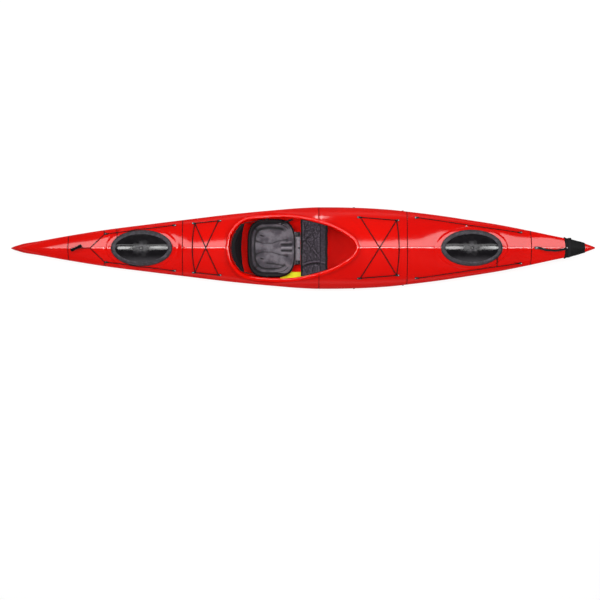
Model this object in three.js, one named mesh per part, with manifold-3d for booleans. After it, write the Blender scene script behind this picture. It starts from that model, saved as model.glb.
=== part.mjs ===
// A take-apart sea kayak: six nesting hull sections with gaskets and swing latches, two oval
// hatches, cockpit seat, foot braces and deck rigging.
// Millimetres, +X towards the bow, +Y to port, +Z up. The origin is under the middle of the
// length, on the centreline, at the height of the keel strip's flat bottom.
import * as THREE from "three";
import { mergeVertices } from "three/addons/utils/BufferGeometryUtils.js";
import Module from "manifold-3d";

const wasm = await Module();
wasm.setup();

// Overall sizes
const LENGTH = 4320;
const HALF_BEAM = 302.5;
const CROWN_HEIGHT = 400; // reference height of the foredeck's ridge
const SHEER_HEIGHT = 172; // height of the widest line amidships
const STEM_RISE = 276; // height of the bow tip's underside
const KEEL_FLAT = 60; // half width of the keel strip amidships
const WALL = 5;
const FIT_GAP = 0.3; // between a piece and the one that it rests on
const OVERRUN = 40; // how far a cutter runs past what it cuts
const MERGE_DISTANCE = 0.0001; // corners nearer than this are one

// Joints between hull sections
const SEAM_GAP = 3; // filled by the gasket
const GASKET_THICKNESS = 2.4;
const GASKET_RECESS = 0.4; // below the hull's outer surface
const SPIGOT_LENGTH = 20;
const SPIGOT_WALL = 4;
const SPIGOT_CLEARANCE = 0.8;
const SPIGOT_ROOT = 14; // length of the thick rim that carries the spigot
const BULKHEAD_THICKNESS = 12;
const BULKHEAD_SETBACK = 70; // from the seam

// Swing latches inside the seams; heights are from the hull's outer surface, inwards
const LATCH_WIDTH = 18;
const LATCH_PIVOT_SETBACK = 11; // from the seam
const LATCH_PIVOT_HEIGHT = 21;
const LATCH_PIN_RADIUS = 2.5;
const LATCH_PIN_CLEARANCE = 0.3;
const LATCH_BARREL_RADIUS = 5;
const LATCH_ARM_THICKNESS = 4;
const LATCH_TAB_LENGTH = 12;
const LATCH_TAB_RISE = 7;
const LATCH_EAR_WIDTH = 4;
const LATCH_EAR_RADIUS = 5;
const LATCH_EAR_CLEARANCE = 0.5;
const LATCH_PLATE_HEIGHT = 11;
const LATCH_PLATE_LENGTH = 34;
const LATCH_PLATE_CLEARANCE = 6; // from the thick rim
const KEEPER_HEIGHT = 15;
const KEEPER_CREST = 3; // flat top of the keeper
const KEEPER_CLEARANCE = 5.5; // from the spigot's end
const KEEPER_MARGIN = 2; // wider than the lever, each side
const KEEPER_SKIN = 1; // the keeper's root stops this far inside the hull's outer surface
const HOOK_DEPTH = 5.5;
const HOOK_LENGTH = 4.5;
const HOOK_CLEARANCE = 0.4;

// Cockpit coaming
const COAMING_LENGTH = 935; // inside
const COAMING_HALF_WIDTH = 225;
const COAMING_REAR_X = -538;
const COAMING_TOP = 420; // height of the lip's front
const COAMING_RISER = 6;
const COAMING_LIP = 28;
const COAMING_LIP_THICKNESS = 6;
const COAMING_LIP_DROOP = 4;
const COAMING_FOOT = 4; // how far the riser reaches below the deck's inner face
const OPENING_FLOOR = 150; // height above which the cockpit opening is cut

// Hatches
const HATCH_HALF_LENGTH = 223.5;
const HATCH_HALF_WIDTH = 129.5;
const HATCH_SKIRT_WALL = 6;
const HATCH_SKIRT_DEPTH = 17;
const HATCH_DOME_RISE = 7;
const HATCH_BAND_WIDTH = 28;
const HATCH_GROOVE_WIDTH = 3;
const HATCH_GROOVE_DEPTH = 1.5;
const HATCH_BUTTON_RISE = 3;
const HATCH_COVER_WALL = 4.5;
const HATCH_RIM_WALL = 18;
const HATCH_RIM_CLEARANCE = 0.4;
const HATCH_RIM_DEPTH = 60; // before it is cut to the deck
const STERN_HATCH_SHARE = 0.225; // place of the lid's middle along the length
const STERN_HATCH_AFT_RISE = 25.3; // from the deck's ridge up to the lid's aft end
const STERN_HATCH_FORE_RISE = 32.5;
const STERN_HATCH_CAMBER = 38; // how far the lid's sides lie below its middle
const BOW_HATCH_SHARE = 0.7898;
const BOW_HATCH_AFT_RISE = 24.6;
const BOW_HATCH_FORE_RISE = 23.5;
const BOW_HATCH_CAMBER = 22;

// Seat pan and pad
const SEAT_REAR_X = -402;
const SEAT_LENGTH = 345;
const SEAT_HALF_WIDTH = 216;
const SEAT_BASE = 66; // height of the pad's underside
const SEAT_THICKNESS = 30;
const SEAT_RIM_RISE = 56; // how far the rolled rim stands above the hollow
const SEAT_FRONT_RISE = 8;
const SEAT_CHANNEL_DEPTH = 6;
const SEAT_CHANNEL_WIDTH = 13;
const SEAT_CHANNEL_Y = 74;
const SEAT_FRONT_START_SHARE = 0.35; // of half the length, where the rim starts to fall
const SEAT_FRONT_END_SHARE = 0.85; // and where it reaches the front's height
const SEAT_CHANNEL_MOST_SHARE = 0.1; // of the rim's rise, above which there are no channels
const PAN_THICKNESS = 7;
const PAN_MARGIN = 42; // inside the pad's edge
const PAN_NOSE_LENGTH = 43; // ahead of the pad
const PAN_NOSE_HALF_WIDTH = 122;
const PAN_RUNNER_WIDTH = 30;
const PAN_RUNNER_Y = 95;

// Back band, its straps and their anchors
const BAND_TOP_X = -499;
const BAND_TOP_SWEEP = 67; // how far the ends of the top edge lie ahead of its middle
const BAND_FOOT_X = -452;
const BAND_FOOT_SWEEP = 24;
const BAND_TOP_Z = 399;
const BAND_TOP_DROP = 75; // from the middle of the top edge to its ends
const BAND_FOOT_Z = 232;
const BAND_FOOT_LIFT = 30;
const BAND_HALF_WIDTH = 180;
const BAND_THICKNESS = 36;
const BAND_END_THICKNESS = 22;
const STRAP_WIDTH = 26;
const STRAP_THICKNESS = 3;
const STRAP_EYE_RADIUS = 14;
const STRAP_REAR_X = -428;
const STRAP_REAR_Z = 296;
const ANCHOR_X = -262;
const ANCHOR_Z = 226;
const ANCHOR_RADIUS = 4.5;
const ANCHOR_CLEARANCE = 0.5;
const ANCHOR_LENGTH = 16;
const ANCHOR_STRAP_OFFSET = 8; // from the riser to the middle of the strap

// Bag slung across the cockpit, and the foam block in the bilge
const BAG_REAR_X = -6;
const BAG_LENGTH = 189;
const BAG_DROP = 40; // below the coaming's lip
const BAG_SAG = 36;
const BAG_THICKNESS = 14;
const BAG_FOLD = 4;
const BAG_FOLD_ACROSS = 9; // radians from the middle to one side
const BAG_FOLD_ALONG = 14; // radians from the rear to the front
const BLOCK_OVERLAP = 108; // how far it reaches back beside the pad's front edge
const BLOCK_LENGTH = 225;
const BLOCK_CLEARANCE = 2; // below the seat pad, and beside the pan

// Foot braces
const RAIL_REAR_SHARE = 0.58843; // place of the rear bolt along the length
const RAIL_BOLT_SPACING = 363;
const RAIL_Z = 172;
const RAIL_OVERHANG = 12; // past each bolt
const RAIL_HEAD_HEIGHT = 26;
const RAIL_HEAD_DEPTH = 6;
const RAIL_WEB_HEIGHT = 14;
const RAIL_WEB_DEPTH = 14;
const BOLT_RADIUS = 3;
const BOLT_CLEARANCE = 0.6;
const BOLT_HEAD_RADIUS = 7;
const BOLT_HEAD_HEIGHT = 3.5;
const PEG_SETTING = 184; // from the rear bolt to the pedal's middle
const PEG_LENGTH = 60;
const PEG_WALL = 4;
const PEG_CLEARANCE = 0.5;
const PEDAL_REACH = 84;
const PEDAL_HEIGHT = 92;
const PEDAL_THICKNESS = 11;
const PEDAL_CORNER = 14;

// Deck rigging
const LINE_RADIUS = 2.2;
const BUNGEE_RADIUS = 2.6;
const CORD_LIFT = 2; // from the deck to the underside of a cord
const FITTING_LENGTH = 22;
const FITTING_WIDTH = 10;
const FITTING_HEIGHT = 9;
const FITTING_SCREW_RADIUS = 4;
const FITTING_SCREW_RISE = 2;
const BUNGEE_BOW = 17; // how far the cross cord bows out over the ridge
const APEX_SHARE = 0.13634; // place along the length where the two legs of the stern line meet
const LINE_LID_CLEARANCE = 10; // between a lid's edge and the middle of the line beside it
const TETHER_RADIUS = 1.8;
const STERN_TETHER_SHARE = -0.82; // of the lid's half length, ahead of its middle
const BOW_TETHER_SHARE = 0.84;

// Handles and bow sleeve
const TOGGLE_LENGTH = 90;
const TOGGLE_RADIUS = 12;
const TOGGLE_WAIST_RADIUS = 9;
const TOGGLE_SHARE = 0.11296; // place of its middle along the length
const TOGGLE_LEAN = 0.34; // rise over run
const TOGGLE_YAW = 0.42; // radians
const TOGGLE_STEM_RADIUS = 3;
const TOGGLE_CLEARANCE = 3; // between the bar and the deck
const HANDLE_REAR_SHARE = 0.90093; // places of its two ends along the length
const HANDLE_FRONT_SHARE = 0.95417;
const HANDLE_RISE = 26;
const HANDLE_SWAY = 20; // to starboard
const HANDLE_WIDTH = 20;
const HANDLE_THICKNESS = 5;
const HANDLE_FLAT_SHARE = 0.07; // of its length, on either side of the screw
const HANDLE_PLATE_LENGTH = 34;
const HANDLE_PLATE_THICKNESS = 3;
const HANDLE_SCREW_RADIUS = 3;
const HANDLE_SCREW_HEAD_RADIUS = 6;
const HANDLE_SCREW_HEAD_HEIGHT = 3;
const SLEEVE_REAR_SHARE = 0.95; // places of its two edges along the length
const SLEEVE_FRONT_SHARE = 0.98287;
const SLEEVE_LEAN = 0.14; // run over rise of its rear edge
const SLEEVE_THICKNESS = 2.5;
const SLEEVE_BAND_THICKNESS = 5;
const SLEEVE_BAND_LENGTH = 18;
const SLEEVE_BAND_SETBACK = 22;

// Counts of corners and steps
const LOWER_STEPS = 5; // from the keel to the widest line
const UPPER_STEPS = 5; // from the widest line to the ridge
const LATCH_STEP = 3; // the facet that carries the latches
const COAMING_POINTS = 48;
const OVAL_POINTS = 24;
const PAD_POINTS = 36;
const TETHER_STEPS = 6;
const CORD_SIDES = 6;
const CORD_SPANS = 6; // in a run across the deck
const ROUND_SIDES = 8;

// Hull form: pairs of a share of the length and a share of the size that the curve follows
const halfBeamShares = [
  [0, 0.012], [0.004, 0.04], [0.012, 0.075], [0.022, 0.115], [0.0445, 0.166], [0.0924, 0.288],
  [0.164, 0.452], [0.236, 0.583], [0.308, 0.71], [0.38, 0.832], [0.452, 0.93], [0.5, 0.984],
  [0.5285, 1], [0.5475, 1], [0.595, 0.987], [0.643, 0.95], [0.691, 0.877], [0.739, 0.79],
  [0.787, 0.685], [0.835, 0.575], [0.883, 0.44], [0.931, 0.292], [0.955, 0.22], [0.979, 0.128],
  [0.992, 0.062], [1, 0.018],
];
const ridgeShares = [
  [0, 0.408], [0.0445, 0.425], [0.0924, 0.46], [0.137, 0.502], [0.1608, 0.52], [0.1745, 0.514],
  [0.226, 0.562], [0.2703, 0.62], [0.2823, 0.655], [0.297, 0.722], [0.332, 0.803], [0.356, 0.815],
  [0.384, 0.83], [0.402, 0.8], [0.42, 0.735], [0.438, 0.675], [0.455, 0.75], [0.472, 0.865], [0.498, 0.98],
  [0.52, 1.017], [0.5285, 1.022], [0.5475, 1.022], [0.5766, 1.002], [0.594, 0.98], [0.628, 0.962],
  [0.66, 0.91], [0.679, 0.882], [0.725, 0.783], [0.733, 0.755], [0.79, 0.705], [0.8365, 0.657],
  [0.8495, 0.673], [0.86, 0.68], [0.883, 0.673], [0.915, 0.655], [0.951, 0.69], [0.979, 0.722],
  [0.994, 0.72], [1, 0.7],
];
const sheerShares = [
  [0, 0.62], [0.1, 0.8], [0.2, 0.86], [0.3, 0.94], [0.5, 0.985], [0.69, 1], [0.79, 1.07],
  [0.89, 1.25], [0.93, 1.38], [0.96, 1.49], [0.98, 1.55], [1, 1.585],
];
const keelShares = [
  [0, 0.16], [0.003, 0.085], [0.007, 0.03], [0.0137, 0], [0.66, 0], [0.691, 0.018],
  [0.74, 0.028], [0.787, 0.036], [0.835, 0.062], [0.859, 0.098], [0.883, 0.17], [0.907, 0.315],
  [0.931, 0.47], [0.955, 0.635], [0.979, 0.805], [0.992, 0.9], [1, 0.96],
];
const keelFlatShares = [
  [0, 0.03], [0.06, 0.16], [0.15, 0.6], [0.3, 1], [0.7, 1], [0.8, 0.6], [0.88, 0.22], [1, 0.03],
];
const crownShares = [
  [0, 0.56], [0.13, 0.6], [0.17, 0.84], [0.28, 0.84], [0.31, 0.6], [0.7, 0.6], [0.745, 0.84],
  [0.84, 0.84], [0.88, 0.6], [1, 0.7],
];
const BILGE_POWER = 0.8; // below 1 the bilge is fuller than an ellipse
const SEAT_CORNER_POWER = 0.6; // below 1 the pad is squarer than an ellipse
const BAND_CORNER_POWER = 0.6;
const KEEL_FLAT_MOST_SHARE = 0.6; // of the half beam
const HOOK_SLOPE = 0.85; // height over run of the faces of the hook and the keeper
const END_SEAM_LEAN = 0.16; // run over rise of the two end seams
const FORM_PASSES = 4; // rounds in which a leaning place settles

const seamShares = [0.0995, 0.295, 0.5285, 0.6795, 0.8905];
const stationShares = [
  0, 0.004, 0.012, 0.022, 0.045, 0.07, 0.13, 0.17, 0.21, 0.25, 0.32, 0.345, 0.37, 0.395, 0.42,
  0.445, 0.47, 0.5, 0.56, 0.59, 0.62, 0.65, 0.715, 0.75, 0.79, 0.83, 0.862, 0.912, 0.935, 0.958,
  0.978, 0.992, 1,
];
const CAVITY_START_SHARE = 0.022;
const CAVITY_END_SHARE = 0.958;

// Cockpit outline: shares of its length and of its half width; lip height: shares of the top
const coamingOutlineShares = [
  [0, 0], [0.012, 0.32], [0.05, 0.59], [0.095, 0.8], [0.154, 0.915], [0.233, 0.96], [0.415, 1],
  [0.565, 0.945], [0.681, 0.836], [0.767, 0.73], [0.87, 0.53], [0.945, 0.33], [0.985, 0.16], [1, 0],
];
const coamingHeightShares = [
  [-0.02, 0.836], [0, 0.833], [0.03, 0.81], [0.105, 0.728], [0.19, 0.645], [0.288, 0.612],
  [0.35, 0.624], [0.44, 0.676], [0.525, 0.737], [0.65, 0.82], [0.71, 0.852], [0.77, 0.892],
  [0.868, 0.95], [0.945, 0.988], [1, 1], [1.04, 1.002],
];

// Hatch cover from the middle of its top round to the middle of its underside. Each ring has
// a share of the oval inside the band and of the dome's rise.
const domeShares = [[0.07, 1], [0.13, 0.98], [0.55, 0.7]];

// Deck fittings: shares of the length and of the half beam there
const aftDeckShares = [[0.3126, 0.84], [0.3601, 0.83]];
const foreDeckShares = [[0.5955, 0.755], [0.6647, 0.73]];
const sternDeckShares = [[0.1615, 0.78], [0.2823, 0.835]];
const bowDeckShares = [[0.6941, 0.85], [0.875, 0.815]];

// Places along the stern hatch where its lines pass it, in half lengths of the lid
const passingShares = [-0.45, -0.15, 0.15, 0.45];

// Seat pad: shares of its outline, and of the rim's rise or the thickness below it
const seatRimShares = [
  [1, 0.8], [0.96, 1], [0.9, 0.97], [0.84, 0.75], [0.76, 0.3], [0.66, 0.08], [0.54, 0], [0.4, 0],
  [0.27, 0], [0.14, 0],
];
const seatUnderShares = [[0.9, 0], [0.97, 0.12], [1, 0.5]];

// Sections of the back band, the bag and the handle: shares of their width or length
const bandSpanShares = [-1, -0.85, -0.65, -0.4, -0.15, 0.15, 0.4, 0.65, 0.85, 1];
const bagRunShares = [0, 0.12, 0.25, 0.4, 0.55, 0.7, 0.85, 1];
const bagSpanShares = [-1, -0.7, -0.4, -0.13, 0.13, 0.4, 0.7, 1];
const handleRunShares = [-HANDLE_FLAT_SHARE, HANDLE_FLAT_SHARE, 0.2, 0.35, 0.5, 0.65, 0.8, 0.93, 1];

// Toggle: shares of its radius and of its length; the waist has a radius of its own
const toggleShares = [
  [0, -0.5], [0.7, -0.5], [1, -0.44], [1, -0.34], [0, -0.2], [0, 0.2], [1, 0.34], [1, 0.44],
  [0.7, 0.5], [0, 0.5],
];

// A smooth curve through pairs of shares that never overshoots them
function shareCurve(pairs) {
  const last = pairs.length - 1;
  const rise = (i) => (pairs[i + 1][1] - pairs[i][1]) / (pairs[i + 1][0] - pairs[i][0]);
  const slopes = pairs.map((pair, i) => {
    if (i === 0) return rise(0);
    if (i === last) return rise(last - 1);
    const [before, after] = [rise(i - 1), rise(i)];
    return before * after <= 0 ? 0 : (2 * before * after) / (before + after);
  });
  return (share) => {
    const at = Math.min(Math.max(share, pairs[0][0]), pairs[last][0]);
    let i = 0;
    while (i < last - 1 && at > pairs[i + 1][0]) i += 1;
    const run = pairs[i + 1][0] - pairs[i][0];
    const t = (at - pairs[i][0]) / run;
    const ease = t * t * (3 - 2 * t);
    const bend = slopes[i] * (1 - t) * (1 - t) * t - slopes[i + 1] * t * t * (1 - t);
    return pairs[i][1] * (1 - ease) + pairs[i + 1][1] * ease + bend * run;
  };
}

const beamAt = shareCurve(halfBeamShares);
const ridgeAt = shareCurve(ridgeShares);
const sheerAt = shareCurve(sheerShares);
const keelAt = shareCurve(keelShares);
const flatAt = shareCurve(keelFlatShares);
const crownAt = shareCurve(crownShares);
const lipAt = shareCurve(coamingHeightShares);
const outlineAt = shareCurve(coamingOutlineShares);

const placeOf = (share) => (share - 0.5) * LENGTH;

// The lines that shape the hull at one place along it
function formAt(x) {
  const share = x / LENGTH + 0.5;
  const beam = HALF_BEAM * beamAt(share);
  return {
    beam,
    ridge: CROWN_HEIGHT * ridgeAt(share),
    sheer: SHEER_HEIGHT * sheerAt(share),
    keel: STEM_RISE * keelAt(share),
    flat: Math.min(KEEL_FLAT * flatAt(share), beam * KEEL_FLAT_MOST_SHARE),
    crown: crownAt(share),
  };
}

// Height of the deck's outer surface
function deckHeight(x, y) {
  const { beam, ridge, sheer, crown } = formAt(x);
  const cosine = Math.min(Math.abs(y) / beam, 1);
  const sine = Math.sqrt(1 - cosine * cosine);
  return sheer + (ridge - sheer) * (crown * sine + (1 - crown) * (1 - cosine));
}

// One corner of a half section; steps count from the keel strip's edge up to the ridge
function sectionCorner(x, step) {
  const { beam, ridge, sheer, keel, flat, crown } = formAt(x);
  if (step < LOWER_STEPS) {
    const angle = (Math.PI / 2) * (1 - step / LOWER_STEPS);
    const across = step === 0 ? 0 : Math.cos(angle) ** BILGE_POWER;
    return [flat + (beam - flat) * across, sheer - (sheer - keel) * Math.sin(angle) ** BILGE_POWER];
  }
  const angle = (Math.PI / 2) * ((step - LOWER_STEPS) / UPPER_STEPS);
  const rise = crown * Math.sin(angle) + (1 - crown) * (1 - Math.cos(angle));
  const across = step === LOWER_STEPS + UPPER_STEPS ? 0 : Math.cos(angle);
  return [beam * across, sheer + (ridge - sheer) * rise];
}

const RIDGE_STEP = LOWER_STEPS + UPPER_STEPS;

// One cross-section all round, from the starboard keel edge over the ridge to the port one.
// A lean tips it fore and aft about the sheer, and an inset moves it inwards.
function ringAt(x, inset, lean) {
  const pivot = formAt(x).sheer;
  const ring = [];
  for (let i = 0; i <= 2 * RIDGE_STEP; i += 1) {
    const step = Math.min(i, 2 * RIDGE_STEP - i);
    let at = x;
    for (let pass = 0; pass < FORM_PASSES; pass += 1) {
      at = x + lean * (sectionCorner(at, step)[1] - pivot);
    }
    const [across, height] = sectionCorner(at, step);
    ring.push(new THREE.Vector3(at, i < RIDGE_STEP ? -across : across, height));
  }
  return inset === 0 ? ring : insetRing(ring, inset);
}

// Moves each corner of a section inwards, square to its two edges
function insetRing(ring, inset) {
  const count = ring.length;
  const inwards = (a, b) => new THREE.Vector2(b.z - a.z, a.y - b.y).normalize();
  return ring.map((point, i) => {
    const before = inwards(ring[(i + count - 1) % count], point);
    const after = inwards(point, ring[(i + 1) % count]);
    const reach = inset / (1 + before.dot(after));
    const step = before.add(after).multiplyScalar(reach);
    return new THREE.Vector3(point.x, point.y + step.x, point.z + step.y);
  });
}

// Solids and meshes
function solidFrom(places, corners) {
  const build = (faces) =>
    new wasm.Manifold(new wasm.Mesh({ numProp: 3, vertProperties: places, triVerts: faces }));
  const made = build(corners);
  return made.volume() > 0 ? made : build(corners.slice().reverse());
}

// Which way a four-cornered face is folded doesn't depend on the order of its rings
const climb = (a, b) => (b.x - a.x) * (b.z - a.z);

// A closed solid from rings of equal count: capped at both ends, or joined end to end
function ringSolid(rings, joined = false) {
  const count = rings[0].length;
  const points = rings.flat();
  const faces = [];
  const spans = joined ? rings.length : rings.length - 1;
  for (let r = 0; r < spans; r += 1) {
    const next = (r + 1) % rings.length;
    for (let i = 0; i < count; i += 1) {
      const j = (i + 1) % count;
      const [a, b, c, d] = [r * count + i, r * count + j, next * count + j, next * count + i];
      if (climb(points[a], points[c]) > climb(points[b], points[d])) faces.push(a, b, c, a, c, d);
      else faces.push(a, b, d, b, c, d);
    }
  }
  const cap = (ring, first, turn) => {
    const hub = points.length;
    points.push(ring.reduce((sum, p) => sum.add(p), new THREE.Vector3()).divideScalar(count));
    for (let i = 0; i < count; i += 1) {
      const j = (i + 1) % count;
      faces.push(hub, first + (turn ? j : i), first + (turn ? i : j));
    }
  };
  if (!joined) {
    cap(rings[0], 0, true);
    cap(rings[rings.length - 1], (rings.length - 1) * count, false);
  }
  const places = new Float32Array(points.flatMap((p) => [p.x, p.y, p.z]));
  return solidFrom(places, new Uint32Array(faces));
}

// A closed three.js geometry as a solid, placed by a matrix
function solidOf(geometry, matrix = new THREE.Matrix4()) {
  const bare = geometry.clone().applyMatrix4(matrix);
  bare.deleteAttribute("normal");
  bare.deleteAttribute("uv");
  const merged = mergeVertices(bare, MERGE_DISTANCE);
  return solidFrom(merged.attributes.position.array, new Uint32Array(merged.index.array));
}

function geometryOf(solid) {
  const mesh = solid.getMesh();
  const geometry = new THREE.BufferGeometry();
  const places = new THREE.BufferAttribute(new Float32Array(mesh.vertProperties), 3);
  geometry.setAttribute("position", places);
  geometry.setIndex(new THREE.BufferAttribute(new Uint32Array(mesh.triVerts), 1));
  const flat = geometry.toNonIndexed();
  flat.computeVertexNormals();
  return flat;
}

const union = (solids) => solids.reduce((sum, solid) => sum.add(solid));

function boxSolid(x0, x1, y0, y1, z0, z1, matrix) {
  const box = new THREE.BoxGeometry(x1 - x0, y1 - y0, z1 - z0);
  return solidOf(box.translate((x0 + x1) / 2, (y0 + y1) / 2, (z0 + z1) / 2), matrix);
}

// An outline of [run, rise] pairs, given a depth on both sides of its plane
function plateSolid(pairs, depth, matrix) {
  const shape = new THREE.Shape(pairs.map(([run, rise]) => new THREE.Vector2(run, rise)));
  const options = { depth, bevelEnabled: false, curveSegments: ROUND_SIDES };
  return solidOf(new THREE.ExtrudeGeometry(shape, options).translate(0, 0, -depth / 2), matrix);
}

// A rod between two points
function rodSolid(from, to, radius) {
  const span = to.clone().sub(from);
  const turn = new THREE.Quaternion().setFromUnitVectors(vector(0, 1, 0), span.clone().normalize());
  const middle = from.clone().addScaledVector(span, 0.5);
  const matrix = new THREE.Matrix4().compose(middle, turn, new THREE.Vector3(1, 1, 1));
  return solidOf(new THREE.CylinderGeometry(radius, radius, span.length(), ROUND_SIDES), matrix);
}

// A cord through a list of points
function cordSolid(points, radius, steps) {
  const section = new THREE.Shape();
  for (let i = 0; i < CORD_SIDES; i += 1) {
    const angle = (2 * Math.PI * i) / CORD_SIDES;
    const corner = [radius * Math.cos(angle), radius * Math.sin(angle)];
    if (i === 0) section.moveTo(...corner);
    else section.lineTo(...corner);
  }
  const path = new THREE.CatmullRomCurve3(points, false, "centripetal");
  return solidOf(new THREE.ExtrudeGeometry(section, { steps, extrudePath: path, bevelEnabled: false }));
}

// Run, inward and across directions as a matrix
const basisAt = (origin, along, inward) =>
  new THREE.Matrix4().makeBasis(along, inward, along.clone().cross(inward)).setPosition(origin);
const vector = (x, y, z) => new THREE.Vector3(x, y, z);
const FORWARD = vector(1, 0, 0);
const UPWARD = vector(0, 0, 1);
const sideOn = (x, y, z) => basisAt(vector(x, y, z), FORWARD, UPWARD);

const material = (color, roughness, metalness = 0) =>
  new THREE.MeshStandardMaterial({ color, roughness, metalness });
const finishes = {
  hull: material(0xe31b0c, 0.25),
  gasket: material(0x161616, 0.8),
  foam: material(0x55565a, 0.9),
  steel: material(0xb8babd, 0.3, 1),
  rubber: material(0x1d1c1e, 0.55),
  rim: material(0x222224, 0.5),
  pad: material(0x57545a, 0.8),
  pan: material(0x858089, 0.6),
  fabric: material(0x1b191c, 0.9),
  bag: material(0x3a3540, 0.85),
  block: material(0xd2dc26, 0.85),
  plastic: material(0x19191b, 0.5),
  cord: material(0x0e0e0f, 0.8),
};

const kayak = new THREE.Group();
function place(name, solid, finish, matrix) {
  const mesh = new THREE.Mesh(geometryOf(solid), finish);
  mesh.name = name;
  if (matrix) mesh.applyMatrix4(matrix);
  kayak.add(mesh);
}

const SIDES = [["port", 1], ["starboard", -1]];

// Seams: outward is the way that the outer section comes off
const seams = seamShares.map((share, i) => ({
  name: ["stern_end", "stern_hatch", "cockpit", "bow_hatch", "bow_end"][i],
  x: placeOf(share),
  outward: i < 2 ? -1 : 1,
  lean: i === 0 ? -END_SEAM_LEAN : i === seamShares.length - 1 ? END_SEAM_LEAN : 0,
}));
const cockpitSeam = seams[2];

// Every cross-section that the hull's surface runs through; the inner surface has one more at
// the root of each spigot
const byPlace = (a, b) => a.x - b.x;
const beside = (reach) => seams.map((seam) => ({ x: seam.x + seam.outward * reach, lean: seam.lean }));
const stations = [
  ...stationShares.map((share) => ({ x: placeOf(share), lean: 0 })),
  ...beside(0),
  ...beside(SPIGOT_LENGTH),
].sort(byPlace);
const innerStations = [...stations, ...beside(-SPIGOT_ROOT)].sort(byPlace);

// The space inside the hull's outer surface, taken in by an inset
function hullVolume(inset) {
  const from = placeOf(inset > 0 ? CAVITY_START_SHARE : 0) - FIT_GAP;
  const to = placeOf(inset > 0 ? CAVITY_END_SHARE : 1) + FIT_GAP;
  const along = (inset > 0 ? innerStations : stations).filter((s) => s.x >= from && s.x <= to);
  return ringSolid(along.map((s) => ringAt(s.x, inset, s.lean)));
}
const insideWall = hullVolume(WALL + FIT_GAP);
const insideSkin = hullVolume(KEEPER_SKIN);
const outsideSkin = hullVolume(-FIT_GAP);

// A section of the spigot that a seam's inner section carries
const spigotRing = (seam, inset, run) =>
  ringAt(seam.x + run, WALL + SPIGOT_CLEARANCE + inset, seam.lean);

// The rings of one end of a section, in order from its outer skin to its inner one
function endRings(seam, carries) {
  const inner = seam.x - (seam.outward * SEAM_GAP) / 2;
  const outer = seam.x + (seam.outward * SEAM_GAP) / 2;
  if (!carries) return [ringAt(outer, 0, seam.lean), ringAt(outer, WALL, seam.lean)];
  const tip = seam.outward * SPIGOT_LENGTH;
  const root = -seam.outward * SPIGOT_ROOT;
  return [
    ringAt(inner, 0, seam.lean),
    spigotRing(seam, 0, (-seam.outward * SEAM_GAP) / 2),
    spigotRing(seam, 0, tip),
    spigotRing(seam, SPIGOT_WALL, tip),
    spigotRing(seam, SPIGOT_WALL, root),
    ringAt(seam.x + root, WALL, seam.lean),
  ];
}

// A hull section between two seams; a missing seam is a closed tip
function sectionShell(aftSeam, foreSeam) {
  const between = (margin) => (s) =>
    (!aftSeam || s.x > aftSeam.x + margin) && (!foreSeam || s.x < foreSeam.x - margin);
  const outer = stations.filter(between(SEAM_GAP)).map((s) => ringAt(s.x, 0, s.lean));
  const inner = stations
    .filter(between(SPIGOT_ROOT + SEAM_GAP))
    .filter((s) => s.x > placeOf(CAVITY_START_SHARE) - FIT_GAP)
    .filter((s) => s.x < placeOf(CAVITY_END_SHARE) + FIT_GAP)
    .map((s) => ringAt(s.x, WALL, s.lean))
    .reverse();
  const fore = foreSeam ? endRings(foreSeam, foreSeam.outward > 0) : [];
  const aft = aftSeam ? endRings(aftSeam, aftSeam.outward < 0).reverse() : [];
  if (!foreSeam) return ringSolid([...inner, ...aft, ...outer]);
  return ringSolid([...outer, ...fore, ...inner, ...aft], Boolean(aftSeam));
}

const sectionNames = [
  "stern_end_section", "stern_hatch_section", "aft_cockpit_section",
  "forward_cockpit_section", "bow_hatch_section", "bow_end_section",
];
const sections = sectionNames.map((name, i) => sectionShell(seams[i - 1], seams[i]));
const [STERN_HATCH, AFT_COCKPIT, FORE_COCKPIT, BOW_HATCH] = [1, 2, 3, 4];

// Cockpit coaming: its outline seen from above, moved outwards by an offset
function coamingOutline(offset) {
  const inner = [];
  for (let i = 0; i < COAMING_POINTS; i += 1) {
    const angle = (2 * Math.PI * i) / COAMING_POINTS;
    const share = (1 - Math.cos(angle)) / 2;
    const side = i < COAMING_POINTS / 2 ? -1 : 1;
    const across = i === 0 || i === COAMING_POINTS / 2 ? 0 : side * COAMING_HALF_WIDTH * outlineAt(share);
    inner.push(new THREE.Vector2(COAMING_REAR_X + COAMING_LENGTH * share, across));
  }
  return inner.map((point, i) => {
    const before = inner[(i + COAMING_POINTS - 1) % COAMING_POINTS];
    const after = inner[(i + 1) % COAMING_POINTS];
    const tangent = after.clone().sub(before).normalize();
    return new THREE.Vector2(point.x + tangent.y * offset, point.y - tangent.x * offset);
  });
}
const lipHeight = (x) => COAMING_TOP * lipAt((x - COAMING_REAR_X) / COAMING_LENGTH);

// The upright space inside the coaming's outline
const openingVolume = (offset) =>
  ringSolid(
    [OPENING_FLOOR, COAMING_TOP + OVERRUN].map((height) =>
      coamingOutline(offset).map((point) => vector(point.x, point.y, height)),
    ),
  );

function coamingSolid() {
  const inner = coamingOutline(0);
  const riser = coamingOutline(COAMING_RISER);
  const lip = coamingOutline(COAMING_LIP);
  const rings = inner.map((point, i) => {
    const foot = deckHeight(point.x, point.y) - WALL - COAMING_FOOT;
    const top = lipHeight(point.x);
    const edge = lipHeight(lip[i].x) - COAMING_LIP_DROOP;
    return [
      vector(point.x, point.y, foot),
      vector(point.x, point.y, top),
      vector(lip[i].x, lip[i].y, edge),
      vector(lip[i].x, lip[i].y, edge - COAMING_LIP_THICKNESS),
      vector(riser[i].x, riser[i].y, top - COAMING_LIP_THICKNESS),
      vector(riser[i].x, riser[i].y, foot),
    ];
  });
  return ringSolid(rings, true);
}

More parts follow.
